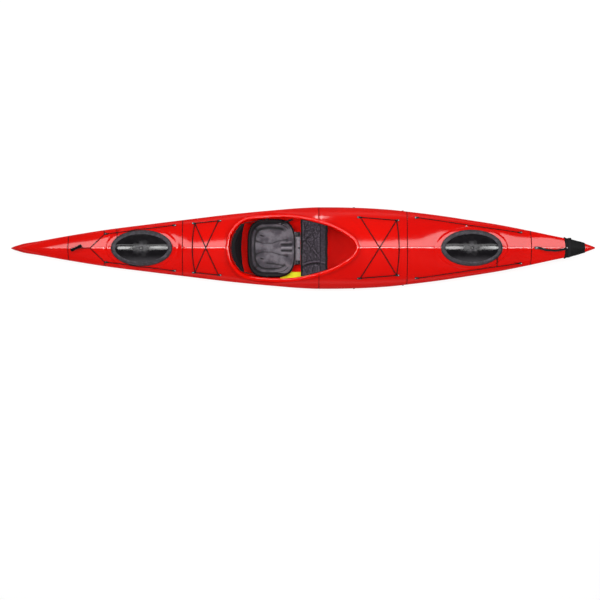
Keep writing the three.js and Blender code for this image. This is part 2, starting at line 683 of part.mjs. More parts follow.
// Everything across the hull between two places along it
const slab = (x0, x1) =>
  boxSolid(x0, x1, -HALF_BEAM - OVERRUN, HALF_BEAM + OVERRUN, -OVERRUN, COAMING_TOP + OVERRUN);

const coaming = coamingSolid();
const opening = openingVolume(COAMING_RISER / 2);
const seamInner = cockpitSeam.x - SEAM_GAP / 2;
const seamOuter = cockpitSeam.x + SEAM_GAP / 2;
const spigotRelief = openingVolume(COAMING_RISER + 2 * FIT_GAP).intersect(slab(seamInner, placeOf(1)));

// Anchor pins for the back band's straps, moulded inside the coaming
const outlineHalfWidth = (x) => COAMING_HALF_WIDTH * outlineAt((x - COAMING_REAR_X) / COAMING_LENGTH);
const anchorWall = outlineHalfWidth(ANCHOR_X);
const anchorPins = SIDES.map(([, side]) =>
  rodSolid(
    vector(ANCHOR_X, side * (anchorWall - ANCHOR_LENGTH), ANCHOR_Z),
    vector(ANCHOR_X, side * (anchorWall + COAMING_RISER / 2), ANCHOR_Z),
    ANCHOR_RADIUS,
  ),
);
sections[AFT_COCKPIT] = union([
  sections[AFT_COCKPIT].subtract(opening).subtract(spigotRelief),
  coaming.intersect(slab(placeOf(0), seamInner)),
  ...anchorPins,
]);
sections[FORE_COCKPIT] = sections[FORE_COCKPIT]
  .subtract(opening)
  .add(coaming.intersect(slab(seamOuter, placeOf(1))));

// Hatches. A ring follows the lid's oval, and lies on its cambered, sloping top.
function hatchAt(share, aftRise, foreRise, camber) {
  const x = placeOf(share);
  const aft = deckHeight(x - HATCH_HALF_LENGTH, 0) + aftRise;
  const fore = deckHeight(x + HATCH_HALF_LENGTH, 0) + foreRise;
  return { x, top: (aft + fore) / 2, slope: (fore - aft) / (2 * HATCH_HALF_LENGTH), camber };
}
const hatches = [
  {
    name: "stern",
    section: STERN_HATCH,
    ...hatchAt(STERN_HATCH_SHARE, STERN_HATCH_AFT_RISE, STERN_HATCH_FORE_RISE, STERN_HATCH_CAMBER),
  },
  {
    name: "bow",
    section: BOW_HATCH,
    ...hatchAt(BOW_HATCH_SHARE, BOW_HATCH_AFT_RISE, BOW_HATCH_FORE_RISE, BOW_HATCH_CAMBER),
  },
];
function ovalRing(hatch, inset, share, height) {
  const ring = [];
  for (let i = 0; i < OVAL_POINTS; i += 1) {
    const angle = (2 * Math.PI * i) / OVAL_POINTS;
    const run = (HATCH_HALF_LENGTH - inset) * share * Math.cos(angle);
    const across = (HATCH_HALF_WIDTH - inset) * share * Math.sin(angle);
    const drop = hatch.camber * (across / HATCH_HALF_WIDTH) ** 2;
    ring.push(vector(hatch.x + run, across, hatch.top + hatch.slope * run - drop + height));
  }
  return ring;
}
const RIM_INSET = HATCH_SKIRT_WALL + HATCH_RIM_CLEARANCE;
const RIM_TOP = -(HATCH_COVER_WALL + HATCH_RIM_CLEARANCE + HATCH_GROOVE_DEPTH);

function coverSolid(hatch) {
  const dome = (lift) => ([share, rise]) =>
    ovalRing(hatch, HATCH_BAND_WIDTH, share, HATCH_DOME_RISE * rise + lift);
  const button = ovalRing(hatch, HATCH_BAND_WIDTH, domeShares[0][0], HATCH_DOME_RISE + HATCH_BUTTON_RISE);
  return ringSolid([
    button,
    ...domeShares.map(dome(0)),
    ovalRing(hatch, HATCH_BAND_WIDTH, 1, -HATCH_GROOVE_DEPTH),
    ovalRing(hatch, HATCH_BAND_WIDTH - HATCH_GROOVE_WIDTH, 1, 0),
    ovalRing(hatch, HATCH_GROOVE_WIDTH, 1, 0),
    ovalRing(hatch, 0, 1, -HATCH_GROOVE_WIDTH),
    ovalRing(hatch, 0, 1, -HATCH_SKIRT_DEPTH),
    ovalRing(hatch, HATCH_SKIRT_WALL, 1, -HATCH_SKIRT_DEPTH),
    ovalRing(hatch, HATCH_SKIRT_WALL, 1, -HATCH_COVER_WALL),
    ovalRing(hatch, HATCH_BAND_WIDTH, 1, -HATCH_COVER_WALL - HATCH_GROOVE_DEPTH),
    ...domeShares.map(dome(-HATCH_COVER_WALL)).reverse(),
  ]);
}

function rimSolid(hatch) {
  const ring = (inset, height) => ovalRing(hatch, inset, 1, height);
  return ringSolid(
    [
      ring(RIM_INSET, RIM_TOP - HATCH_RIM_DEPTH),
      ring(RIM_INSET, RIM_TOP),
      ring(RIM_INSET + HATCH_RIM_WALL, RIM_TOP),
      ring(RIM_INSET + HATCH_RIM_WALL, RIM_TOP - HATCH_RIM_DEPTH),
    ],
    true,
  ).subtract(outsideSkin);
}

for (const hatch of hatches) {
  const hole = ringSolid([
    ovalRing(hatch, RIM_INSET + HATCH_RIM_WALL, 1, RIM_TOP - HATCH_RIM_DEPTH),
    ovalRing(hatch, RIM_INSET + HATCH_RIM_WALL, 1, RIM_TOP),
  ]);
  sections[hatch.section] = sections[hatch.section].subtract(hole);
}

// Swing latches: a frame on one facet of the hull at the seam, running outwards over the joint
function latchFrame(seam, side) {
  const middle = (x) => {
    const [low, high] = [sectionCorner(x, LATCH_STEP), sectionCorner(x, LATCH_STEP + 1)];
    return vector(x, (side * (low[0] + high[0])) / 2, (low[1] + high[1]) / 2);
  };
  let x = seam.x;
  for (let pass = 0; pass < FORM_PASSES; pass += 1) {
    x = seam.x + seam.lean * (middle(x).z - formAt(seam.x).sheer);
  }
  const [low, high] = [sectionCorner(x, LATCH_STEP), sectionCorner(x, LATCH_STEP + 1)];
  const upwards = vector(0, side * (high[0] - low[0]), high[1] - low[1]).normalize();
  const reach = seam.outward * LATCH_PLATE_LENGTH;
  const along = middle(x + reach).sub(middle(x - reach)).normalize();
  along.addScaledVector(upwards, -along.dot(upwards)).normalize();
  const inward = along.clone().cross(upwards);
  if (inward.y * side > 0) inward.negate();
  return basisAt(middle(x), along, inward);
}

const KEEPER_START = SPIGOT_LENGTH + KEEPER_CLEARANCE;
const KEEPER_END = KEEPER_START + KEEPER_CREST;
const hookRun = (height) => KEEPER_END + (KEEPER_HEIGHT - height) / HOOK_SLOPE;
const keeperOutline = [
  [KEEPER_START, 0],
  [KEEPER_START, KEEPER_HEIGHT],
  [KEEPER_END, KEEPER_HEIGHT],
  [hookRun(0), 0],
];

const HOOK_OFFSET = HOOK_CLEARANCE * Math.sqrt(1 + 1 / HOOK_SLOPE ** 2);
const ARM_LOW = LATCH_PIVOT_HEIGHT - LATCH_ARM_THICKNESS / 2;
const ARM_HIGH = LATCH_PIVOT_HEIGHT + LATCH_ARM_THICKNESS / 2;
const HOOK_TIP = KEEPER_HEIGHT - HOOK_DEPTH;
const HOOK_END = hookRun(HOOK_TIP) + HOOK_OFFSET + HOOK_LENGTH;
const leverOutline = [
  [-LATCH_PIVOT_SETBACK, ARM_LOW],
  [hookRun(ARM_LOW) + HOOK_OFFSET, ARM_LOW],
  [hookRun(HOOK_TIP) + HOOK_OFFSET, HOOK_TIP],
  [HOOK_END, HOOK_TIP],
  [HOOK_END, ARM_LOW],
  [HOOK_END + LATCH_TAB_LENGTH, ARM_LOW + LATCH_TAB_RISE],
  [HOOK_END + LATCH_TAB_LENGTH, ARM_HIGH + LATCH_TAB_RISE],
  [HOOK_END, ARM_HIGH],
  [-LATCH_PIVOT_SETBACK, ARM_HIGH],
];
const PLATE_START = -(SPIGOT_ROOT + LATCH_PLATE_CLEARANCE);
const PLATE_END = PLATE_START - LATCH_PLATE_LENGTH;
const earOutline = [
  [PLATE_END, 0],
  [PLATE_START, 0],
  [PLATE_START, LATCH_PIVOT_HEIGHT - LATCH_EAR_RADIUS],
  [-LATCH_PIVOT_SETBACK, LATCH_PIVOT_HEIGHT - LATCH_EAR_RADIUS],
  [-LATCH_PIVOT_SETBACK + LATCH_EAR_RADIUS, LATCH_PIVOT_HEIGHT],
  [-LATCH_PIVOT_SETBACK, LATCH_PIVOT_HEIGHT + LATCH_EAR_RADIUS],
  [PLATE_START, LATCH_PIVOT_HEIGHT + LATCH_EAR_RADIUS],
  [PLATE_END, LATCH_PLATE_HEIGHT],
];
const EAR_INNER = LATCH_WIDTH / 2 + LATCH_EAR_CLEARANCE;
const EAR_OUTER = EAR_INNER + LATCH_EAR_WIDTH;

function latchPlate(frame) {
  const base = boxSolid(PLATE_END, PLATE_START, 0, LATCH_PLATE_HEIGHT, -EAR_OUTER, EAR_OUTER);
  const ears = SIDES.map(([, side]) => {
    const middle = (side * (EAR_INNER + EAR_OUTER)) / 2;
    return plateSolid(earOutline, LATCH_EAR_WIDTH, new THREE.Matrix4().makeTranslation(0, 0, middle));
  });
  const pin = rodSolid(
    vector(-LATCH_PIVOT_SETBACK, LATCH_PIVOT_HEIGHT, -EAR_OUTER),
    vector(-LATCH_PIVOT_SETBACK, LATCH_PIVOT_HEIGHT, EAR_OUTER),
    LATCH_PIN_RADIUS,
  );
  return union([base, ...ears, pin]).transform(frame.elements).intersect(insideWall);
}

// The lever's own origin is on its pivot, with its axis along Z
function latchLever() {
  const half = LATCH_WIDTH / 2;
  const barrel = rodSolid(vector(0, 0, -half), vector(0, 0, half), LATCH_BARREL_RADIUS);
  const bore = rodSolid(
    vector(0, 0, -LATCH_WIDTH),
    vector(0, 0, LATCH_WIDTH),
    LATCH_PIN_RADIUS + LATCH_PIN_CLEARANCE,
  );
  const toPivot = new THREE.Matrix4().makeTranslation(LATCH_PIVOT_SETBACK, -LATCH_PIVOT_HEIGHT, 0);
  return plateSolid(leverOutline, LATCH_WIDTH, toPivot).add(barrel).subtract(bore);
}

const lever = latchLever();
seams.forEach((seam, i) => {
  const outerSection = seam.outward < 0 ? i : i + 1;
  for (const [sideName, side] of SIDES) {
    const frame = latchFrame(seam, side);
    const keeper = plateSolid(keeperOutline, LATCH_WIDTH + 2 * KEEPER_MARGIN, frame).intersect(insideSkin);
    sections[outerSection] = sections[outerSection].add(keeper);
    place(`${seam.name}_${sideName}_latch_plate`, latchPlate(frame), finishes.steel);
    const pivot = new THREE.Matrix4().makeTranslation(-LATCH_PIVOT_SETBACK, LATCH_PIVOT_HEIGHT, 0);
    place(`${seam.name}_${sideName}_latch_lever`, lever, finishes.steel, frame.clone().multiply(pivot));
  }
});

// Gaskets between the faces of the sections
for (const seam of seams) {
  const ring = (inset, run) => ringAt(seam.x + run, inset, seam.lean);
  let gasket = ringSolid(
    [
      ring(GASKET_RECESS, -GASKET_THICKNESS / 2),
      ring(GASKET_RECESS, GASKET_THICKNESS / 2),
      ring(WALL - GASKET_RECESS, GASKET_THICKNESS / 2),
      ring(WALL - GASKET_RECESS, -GASKET_THICKNESS / 2),
    ],
    true,
  );
  if (seam === cockpitSeam) {
    const slice = slab(seam.x - GASKET_THICKNESS / 2, seam.x + GASKET_THICKNESS / 2);
    gasket = gasket.subtract(opening).add(coaming.intersect(slice));
  }
  place(`${seam.name}_gasket`, gasket, finishes.gasket);
}

// Bulkheads that close the two hatch compartments towards the cockpit
for (const seam of [seams[1], seams[3]]) {
  const near = seam.x + seam.outward * BULKHEAD_SETBACK;
  const far = near + seam.outward * BULKHEAD_THICKNESS;
  const board = insideWall.intersect(slab(Math.min(near, far), Math.max(near, far)));
  place(`${seam.name}_bulkhead`, board, finishes.foam);
}

// Hatch rims and covers
for (const hatch of hatches) {
  place(`${hatch.name}_hatch_rim`, rimSolid(hatch), finishes.rim);
  place(`${hatch.name}_hatch_cover`, coverSolid(hatch), finishes.rubber);
}

// Seat pad: rings from its underside, out round the rolled rim and in to the middle of the hollow
const signedPower = (value, power) => Math.sign(value) * Math.abs(value) ** power;
const SEAT_MIDDLE_X = SEAT_REAR_X + SEAT_LENGTH / 2;
function seatRing(margin, share, height) {
  const ring = [];
  for (let i = 0; i < PAD_POINTS; i += 1) {
    const angle = (2 * Math.PI * i) / PAD_POINTS;
    const run = (SEAT_LENGTH / 2 - margin) * share * signedPower(Math.cos(angle), SEAT_CORNER_POWER);
    const across = (SEAT_HALF_WIDTH - margin) * share * signedPower(Math.sin(angle), SEAT_CORNER_POWER);
    const along = run / (SEAT_LENGTH / 2);
    const front = THREE.MathUtils.smoothstep(along, SEAT_FRONT_START_SHARE, SEAT_FRONT_END_SHARE);
    const rise = THREE.MathUtils.lerp(SEAT_RIM_RISE, SEAT_FRONT_RISE, front);
    const off = (Math.abs(across) - SEAT_CHANNEL_Y) / SEAT_CHANNEL_WIDTH;
    const channel = SEAT_CHANNEL_DEPTH * Math.exp(-off * off);
    ring.push(vector(SEAT_MIDDLE_X + run, across, SEAT_BASE + height(rise, channel)));
  }
  return ring;
}
function seatPadSolid() {
  const under = seatUnderShares.map(([share, lift]) => seatRing(0, share, () => SEAT_THICKNESS * lift));
  const upper = seatRimShares.map(([share, lift]) =>
    seatRing(0, share, (rise, channel) =>
      SEAT_THICKNESS + rise * lift - (lift < SEAT_CHANNEL_MOST_SHARE ? channel : 0),
    ),
  );
  return ringSolid([...under, ...upper]);
}

// Seat pan: a plate under the pad, with a nose ahead of it and two runners down to the hull
function seatPanSolid() {
  const top = SEAT_BASE - FIT_GAP;
  const plate = ringSolid([
    seatRing(PAN_MARGIN, 1, () => -FIT_GAP - PAN_THICKNESS),
    seatRing(PAN_MARGIN, 1, () => -FIT_GAP),
  ]);
  const front = SEAT_REAR_X + SEAT_LENGTH + PAN_NOSE_LENGTH;
  const nose = boxSolid(
    SEAT_MIDDLE_X, front, -PAN_NOSE_HALF_WIDTH, PAN_NOSE_HALF_WIDTH, top - PAN_THICKNESS, top,
  );
  const runners = SIDES.map(([, side]) => {
    const middle = side * PAN_RUNNER_Y;
    const [y0, y1] = [middle - PAN_RUNNER_WIDTH / 2, middle + PAN_RUNNER_WIDTH / 2];
    return boxSolid(SEAT_REAR_X + PAN_MARGIN * 2, front, y0, y1, 0, top - PAN_THICKNESS / 2);
  });
  return union([plate, nose, ...runners]).intersect(insideWall);
}
place("seat_pan", seatPanSolid(), finishes.pan);
place("seat_pad", seatPadSolid(), finishes.pad);

// Back band: rounded upright sections from starboard to port
function backBandSolid() {
  return ringSolid(
    bandSpanShares.map((share) => {
      const square = share * share;
      const foot = vector(BAND_FOOT_X + BAND_FOOT_SWEEP * square, 0, BAND_FOOT_Z + BAND_FOOT_LIFT * square);
      const top = vector(BAND_TOP_X + BAND_TOP_SWEEP * square, 0, BAND_TOP_Z - BAND_TOP_DROP * square);
      const rise = top.clone().sub(foot);
      const middle = foot.clone().addScaledVector(rise, 0.5);
      const half = rise.length() / 2;
      rise.normalize();
      const thickness = THREE.MathUtils.lerp(BAND_THICKNESS, BAND_END_THICKNESS, square);
      return Array.from({ length: ROUND_SIDES }, (_, i) => {
        const angle = (2 * Math.PI * i) / ROUND_SIDES;
        const up = half * signedPower(Math.sin(angle), BAND_CORNER_POWER);
        const out = (thickness / 2) * signedPower(Math.cos(angle), BAND_CORNER_POWER);
        return vector(
          middle.x + rise.x * up + rise.z * out,
          BAND_HALF_WIDTH * share,
          middle.z + rise.z * up - rise.x * out,
        );
      });
    }),
  );
}

// A strap from its eye on the anchor pin back to the end of the band
function strapSolid(side) {
  const eye = vector(ANCHOR_X, side * (anchorWall - ANCHOR_STRAP_OFFSET), ANCHOR_Z);
  const rearY = BAND_HALF_WIDTH + FIT_GAP + STRAP_THICKNESS / 2;
  const rear = vector(STRAP_REAR_X, side * rearY, STRAP_REAR_Z);
  const along = rear.clone().sub(eye);
  const length = along.length();
  along.normalize();
  const across = along.clone().cross(vector(0, 1, 0)).normalize();
  const frame = basisAt(eye, along, across);
  const half = STRAP_WIDTH / 2;
  const strip = boxSolid(0, length, -half, half, -STRAP_THICKNESS / 2, STRAP_THICKNESS / 2, frame);
  const normal = along.clone().cross(across);
  const disc = rodSolid(
    eye.clone().addScaledVector(normal, -STRAP_THICKNESS / 2),
    eye.clone().addScaledVector(normal, STRAP_THICKNESS / 2),
    STRAP_EYE_RADIUS,
  );
  const hole = rodSolid(
    vector(ANCHOR_X, side * (anchorWall - ANCHOR_LENGTH - OVERRUN), ANCHOR_Z),
    vector(ANCHOR_X, side * (anchorWall + OVERRUN), ANCHOR_Z),
    ANCHOR_RADIUS + ANCHOR_CLEARANCE,
  );
  return strip.add(disc).subtract(hole);
}
const bandBox = boxSolid(
  BAND_TOP_X - OVERRUN, ANCHOR_X, -BAND_HALF_WIDTH, BAND_HALF_WIDTH, 0, BAND_TOP_Z + OVERRUN,
);
place("back_band", backBandSolid().intersect(bandBox), finishes.fabric);
for (const [sideName, side] of SIDES) {
  place(`${sideName}_back_strap`, strapSolid(side), finishes.fabric);
}

// Bag slung inside the coaming: sagging sections from its rear to its front
function bagSolid() {
  const sag = (x, share) => {
    const turn = BAG_FOLD_ACROSS * share + BAG_FOLD_ALONG * ((x - BAG_REAR_X) / BAG_LENGTH);
    const fold = BAG_FOLD * Math.sin(turn);
    return lipHeight(x) - BAG_DROP - BAG_SAG * (1 - share * share) + fold;
  };
  const rings = bagRunShares.map((run) => {
    const x = BAG_REAR_X + BAG_LENGTH * run;
    const upper = bagSpanShares.map((share) => vector(x, COAMING_HALF_WIDTH * share, sag(x, share)));
    const lower = upper.map((point) => vector(x, point.y, point.z - BAG_THICKNESS)).reverse();
    return [...upper, ...lower];
  });
  return ringSolid(rings).intersect(openingVolume(-FIT_GAP));
}
place("cockpit_bag", bagSolid(), finishes.bag);

// Foam block that lies in the starboard bilge, beside and under the pad
const blockInner = SEAT_HALF_WIDTH - PAN_MARGIN + BLOCK_CLEARANCE;
const blockRear = SEAT_REAR_X + SEAT_LENGTH - BLOCK_OVERLAP;
const block = boxSolid(
  blockRear, blockRear + BLOCK_LENGTH, -HALF_BEAM, -blockInner, 0, SEAT_BASE - BLOCK_CLEARANCE,
);
place("foam_block", block.intersect(insideWall), finishes.block);

// Foot braces: a rail bolted through the hull's side, and a pedal that slides on it
for (const [sideName, side] of SIDES) {
  const wallAt = (x) => vector(x, side * (formAt(x).beam - WALL), RAIL_Z);
  const rearBolt = wallAt(placeOf(RAIL_REAR_SHARE));
  const foreBolt = wallAt(rearBolt.x + RAIL_BOLT_SPACING);
  const along = foreBolt.clone().sub(rearBolt).normalize();
  const inward = along.clone().cross(UPWARD).multiplyScalar(side);
  const frame = basisAt(rearBolt, along, inward);
  const length = foreBolt.distanceTo(rearBolt);
  const [start, end] = [-RAIL_OVERHANG, length + RAIL_OVERHANG];
  const [webHalf, headHalf] = [RAIL_WEB_HEIGHT / 2, RAIL_HEAD_HEIGHT / 2];
  const headTop = RAIL_WEB_DEPTH + RAIL_HEAD_DEPTH;
  const boltAxis = (bolt, depth) => bolt.clone().addScaledVector(inward, depth);
  const headOuter = -(WALL + BOLT_HEAD_HEIGHT);
  const shankOuter = headOuter + BOLT_HEAD_HEIGHT / 2;
  const bolts = [rearBolt, foreBolt].map((bolt) => {
    const head = rodSolid(boltAxis(bolt, headOuter), boltAxis(bolt, 0), BOLT_HEAD_RADIUS);
    const shank = rodSolid(boltAxis(bolt, shankOuter), boltAxis(bolt, headTop / 2), BOLT_RADIUS);
    return head.subtract(outsideSkin).add(shank);
  });
  const bar = boxSolid(start, end, 0, headTop, -webHalf, webHalf, frame)
    .intersect(insideWall)
    .add(boxSolid(start, end, RAIL_WEB_DEPTH, headTop, -headHalf, headHalf, frame));
  const rail = union([bar, ...bolts]);
  place(`${sideName}_foot_rail`, rail, finishes.plastic);
  const holeRadius = BOLT_RADIUS + BOLT_CLEARANCE;
  for (const bolt of [rearBolt, foreBolt]) {
    const hole = rodSolid(boltAxis(bolt, -OVERRUN), boltAxis(bolt, RAIL_WEB_DEPTH), holeRadius);
    sections[FORE_COCKPIT] = sections[FORE_COCKPIT].subtract(hole);
  }

  // The pedal's own frame lies on the rail: along it, inwards and up
  const pegStart = PEG_SETTING - PEG_LENGTH / 2;
  const pegEnd = pegStart + PEG_LENGTH;
  const grip = PEG_CLEARANCE + PEG_WALL;
  const collar = boxSolid(
    pegStart, pegEnd, RAIL_WEB_DEPTH - grip, headTop + grip, -headHalf - grip, headHalf + grip,
  );
  const headSlot = boxSolid(
    start, end, RAIL_WEB_DEPTH - PEG_CLEARANCE, headTop + PEG_CLEARANCE,
    -headHalf - PEG_CLEARANCE, headHalf + PEG_CLEARANCE,
  );
  const webSlotHalf = webHalf + PEG_CLEARANCE;
  const webSlot = boxSolid(start, end, 0, RAIL_WEB_DEPTH, -webSlotHalf, webSlotHalf);
  const [near, far, half] = [headTop + grip, headTop + grip + PEDAL_REACH, PEDAL_HEIGHT / 2];
  const pedalOutline = [
    [near - PEG_WALL / 2, -headHalf],
    [near + PEDAL_CORNER, -half],
    [far - PEDAL_CORNER, -half],
    [far, -half + PEDAL_CORNER],
    [far, half - PEDAL_CORNER],
    [far - PEDAL_CORNER, half],
    [near + PEDAL_CORNER, half],
    [near - PEG_WALL / 2, headHalf],
  ];
  const pedalMiddle = vector((pegStart + pegEnd) / 2, 0, 0);
  const pedal = plateSolid(pedalOutline, PEDAL_THICKNESS, basisAt(pedalMiddle, vector(0, 1, 0), UPWARD));
  const shoe = collar.subtract(headSlot).subtract(webSlot).add(pedal);
  place(`${sideName}_foot_pedal`, shoe, finishes.plastic, frame);
}

sections.forEach((section, i) => place(sectionNames[i], section, finishes.hull));

// Deck rigging. A fitting is a small block with a screw head, cut to the deck.
const fittingPlace = ([share, beamShare], side) => {
  const x = placeOf(share);
  return vector(x, side * formAt(x).beam * beamShare, 0);
};
const onDeck = (x, y, radius) => vector(x, y, deckHeight(x, y) + CORD_LIFT + radius);

const EYE_RUN = FITTING_LENGTH - FITTING_WIDTH / 2;

// The screw is at the place, and the eye is ahead of or behind it, where the run goes
function fittingSolid(at, run) {
  const half = FITTING_WIDTH / 2;
  const ends = [at.x - run * half, at.x + run * FITTING_LENGTH];
  const surface = deckHeight(at.x, at.y);
  const top = Math.max(surface, deckHeight(at.x + run * EYE_RUN, at.y)) + FITTING_HEIGHT;
  const body = boxSolid(
    Math.min(...ends), Math.max(...ends), at.y - half, at.y + half, surface - OVERRUN, top,
  );
  const screwTop = vector(at.x, at.y, top + FITTING_SCREW_RISE);
  return body.add(rodSolid(screwTop.clone().setZ(surface), screwTop, FITTING_SCREW_RADIUS));
}
const fittingEye = (at, run, radius) => onDeck(at.x + run * EYE_RUN, at.y, radius);

// A run of cord over the deck, bowed along the hull by bow at its middle
function deckRun(from, to, radius, spans, bow = 0) {
  const points = [];
  for (let i = 0; i <= spans; i += 1) {
    const t = i / spans;
    const x = THREE.MathUtils.lerp(from.x, to.x, t) + bow * 4 * t * (1 - t);
    points.push(onDeck(x, THREE.MathUtils.lerp(from.y, to.y, t), radius));
  }
  return cordSolid(points, radius, spans);
}

// Four fittings, a cord along each side, one bowed out across an end, and two crossed ones
function bungeeSet(name, rearShares, foreShares, bowEnd) {
  const eyes = {};
  const solids = [];
  for (const [sideName, side] of SIDES) {
    for (const [end, shares, run] of [["rear", rearShares, 1], ["fore", foreShares, -1]]) {
      const at = fittingPlace(shares, side);
      eyes[`${sideName}_${end}`] = fittingEye(at, run, BUNGEE_RADIUS);
      solids.push(fittingSolid(at, run));
    }
    solids.push(deckRun(eyes[`${sideName}_rear`], eyes[`${sideName}_fore`], BUNGEE_RADIUS, 2));
  }
  const bow = bowEnd === "rear" ? -BUNGEE_BOW : BUNGEE_BOW;
  solids.push(
    deckRun(eyes.port_rear, eyes.starboard_fore, BUNGEE_RADIUS, CORD_SPANS),
    deckRun(eyes.starboard_rear, eyes.port_fore, BUNGEE_RADIUS, CORD_SPANS),
    deckRun(eyes[`port_${bowEnd}`], eyes[`starboard_${bowEnd}`], BUNGEE_RADIUS, CORD_SPANS, bow),
  );
  place(name, union(solids).subtract(outsideSkin), finishes.cord);
}
bungeeSet("aft_deck_bungee", aftDeckShares[0], aftDeckShares[1], "rear");
bungeeSet("foredeck_bungee", foreDeckShares[0], foreDeckShares[1], "fore");

// Stern lines: two runs past the hatch, and the two legs that hold the carrying toggle
const apex = onDeck(placeOf(APEX_SHARE), 0, LINE_RADIUS);
const sternSolids = [];
const sternRoute = [];
for (const [, side] of SIDES) {
  const [rear, fore] = sternDeckShares.map((shares) => fittingPlace(shares, side));
  const [rearEye, foreEye] = [fittingEye(rear, 1, LINE_RADIUS), fittingEye(fore, -1, LINE_RADIUS)];
  const passing = passingShares.map((share) => {
    const x = hatches[0].x + HATCH_HALF_LENGTH * share;
    const edge = HATCH_HALF_WIDTH * Math.sqrt(1 - share * share) + LINE_LID_CLEARANCE;
    const straight = side * THREE.MathUtils.mapLinear(x, rearEye.x, foreEye.x, rearEye.y, foreEye.y);
    return onDeck(x, side * Math.max(edge, straight), LINE_RADIUS);
  });
  sternSolids.push(fittingSolid(rear, 1), fittingSolid(fore, -1));
  const route = [rearEye, ...passing, foreEye];
  sternSolids.push(cordSolid(route, LINE_RADIUS, 2 * CORD_SPANS));
  if (side > 0) sternRoute.push(...route);
  sternSolids.push(deckRun(onDeck(rear.x, rear.y, LINE_RADIUS), apex, LINE_RADIUS, CORD_SPANS / 2));
}
place("stern_deck_lines", union(sternSolids).subtract(outsideSkin), finishes.cord);

// Bow lines, one along each side of the hatch
const bowRoute = [];
for (const [sideName, side] of SIDES) {
  const [rear, fore] = bowDeckShares.map((shares) => fittingPlace(shares, side));
  const route = [fittingEye(rear, 1, LINE_RADIUS), fittingEye(fore, -1, LINE_RADIUS)];
  const line = deckRun(...route, LINE_RADIUS, 2 * CORD_SPANS);
  if (side < 0) bowRoute.push(...route);
  const solid = union([fittingSolid(rear, 1), fittingSolid(fore, -1), line]).subtract(outsideSkin);
  place(`${sideName}_bow_line`, solid, finishes.cord);
}

// Carrying toggle: a waisted bar, and the stem that runs to the legs' apex
const toggleDirection = vector(Math.cos(TOGGLE_YAW), Math.sin(TOGGLE_YAW), TOGGLE_LEAN).normalize();
const legFoot = fittingPlace(sternDeckShares[0], 1);
const legSkew = Math.sin(Math.atan2(legFoot.y, legFoot.x - apex.x));
const stemEndX = apex.x - LINE_RADIUS * legSkew - FIT_GAP;
const toggleLift = TOGGLE_RADIUS + TOGGLE_CLEARANCE + (TOGGLE_LENGTH / 2) * toggleDirection.z;
const toggleX = placeOf(TOGGLE_SHARE);
const toggleMiddle = vector(toggleX, 0, deckHeight(toggleX, 0) + toggleLift);
function toggleSolid() {
  const profile = toggleShares.map(([share, along], i) => {
    const ends = i === 0 || i === toggleShares.length - 1;
    const radius = ends ? 0 : share === 0 ? TOGGLE_WAIST_RADIUS : TOGGLE_RADIUS * share;
    return new THREE.Vector2(radius, TOGGLE_LENGTH * along);
  });
  const turn = new THREE.Quaternion().setFromUnitVectors(vector(0, 1, 0), toggleDirection);
  const matrix = new THREE.Matrix4().compose(toggleMiddle, turn, vector(1, 1, 1));
  const bar = solidOf(new THREE.LatheGeometry(profile, ROUND_SIDES), matrix);
  const stem = rodSolid(toggleMiddle, apex, TOGGLE_STEM_RADIUS).intersect(slab(placeOf(0), stemEndX));
  return bar.add(stem).subtract(outsideSkin);
}
place("stern_toggle", toggleSolid(), finishes.plastic);

// Bow sleeve: a fabric tube over the nose, with a thicker band round it
function sleevePrism(rear, front, frontLean) {
  const edge = (x, lean, height) => [x + lean * (height - STEM_RISE), height];
  const outline = [
    edge(rear, SLEEVE_LEAN, 0),
    edge(front, frontLean, 0),
    edge(front, frontLean, COAMING_TOP),
    edge(rear, SLEEVE_LEAN, COAMING_TOP),
  ];
  return plateSolid(outline, 2 * HALF_BEAM, sideOn(0, 0, 0));
}
const sleeveRear = placeOf(SLEEVE_REAR_SHARE);
const bandRear = sleeveRear + SLEEVE_BAND_SETBACK;
const sleeveSolid = hullVolume(-FIT_GAP - SLEEVE_THICKNESS)
  .intersect(sleevePrism(sleeveRear, placeOf(SLEEVE_FRONT_SHARE), 0))
  .add(
    hullVolume(-FIT_GAP - SLEEVE_BAND_THICKNESS).intersect(
      sleevePrism(bandRear, bandRear + SLEEVE_BAND_LENGTH, SLEEVE_LEAN),
    ),
  )
  .subtract(outsideSkin);
place("bow_sleeve", sleeveSolid, finishes.fabric);

// Bow carrying handle: webbing from a screwed plate on the deck to the front of the sleeve's edge
const handleRear = placeOf(HANDLE_REAR_SHARE);
const handleFront = placeOf(HANDLE_FRONT_SHARE);
const handleBase = deckHeight(handleRear, 0) + FIT_GAP;
const handleScrew = vector(handleRear, 0, handleBase);
const plateTop = handleBase + HANDLE_PLATE_THICKNESS;
function handlePlateSolid() {
  const half = HANDLE_PLATE_LENGTH / 2;
  const plate = boxSolid(
    handleRear - half, handleRear + half, -HANDLE_WIDTH / 2, HANDLE_WIDTH / 2,
    handleBase - OVERRUN, plateTop,
  ).subtract(outsideSkin);
  const headBase = plateTop + 2 * FIT_GAP + HANDLE_THICKNESS;
  const shank = rodSolid(
    handleScrew.clone().setZ(handleBase + HANDLE_PLATE_THICKNESS / 2),
    handleScrew.clone().setZ(headBase + HANDLE_SCREW_HEAD_HEIGHT / 2),
    HANDLE_SCREW_RADIUS,
  );
  const head = rodSolid(
    handleScrew.clone().setZ(headBase),
    handleScrew.clone().setZ(headBase + HANDLE_SCREW_HEAD_HEIGHT),
    HANDLE_SCREW_HEAD_RADIUS,
  );
  return union([plate, shank, head]);
}
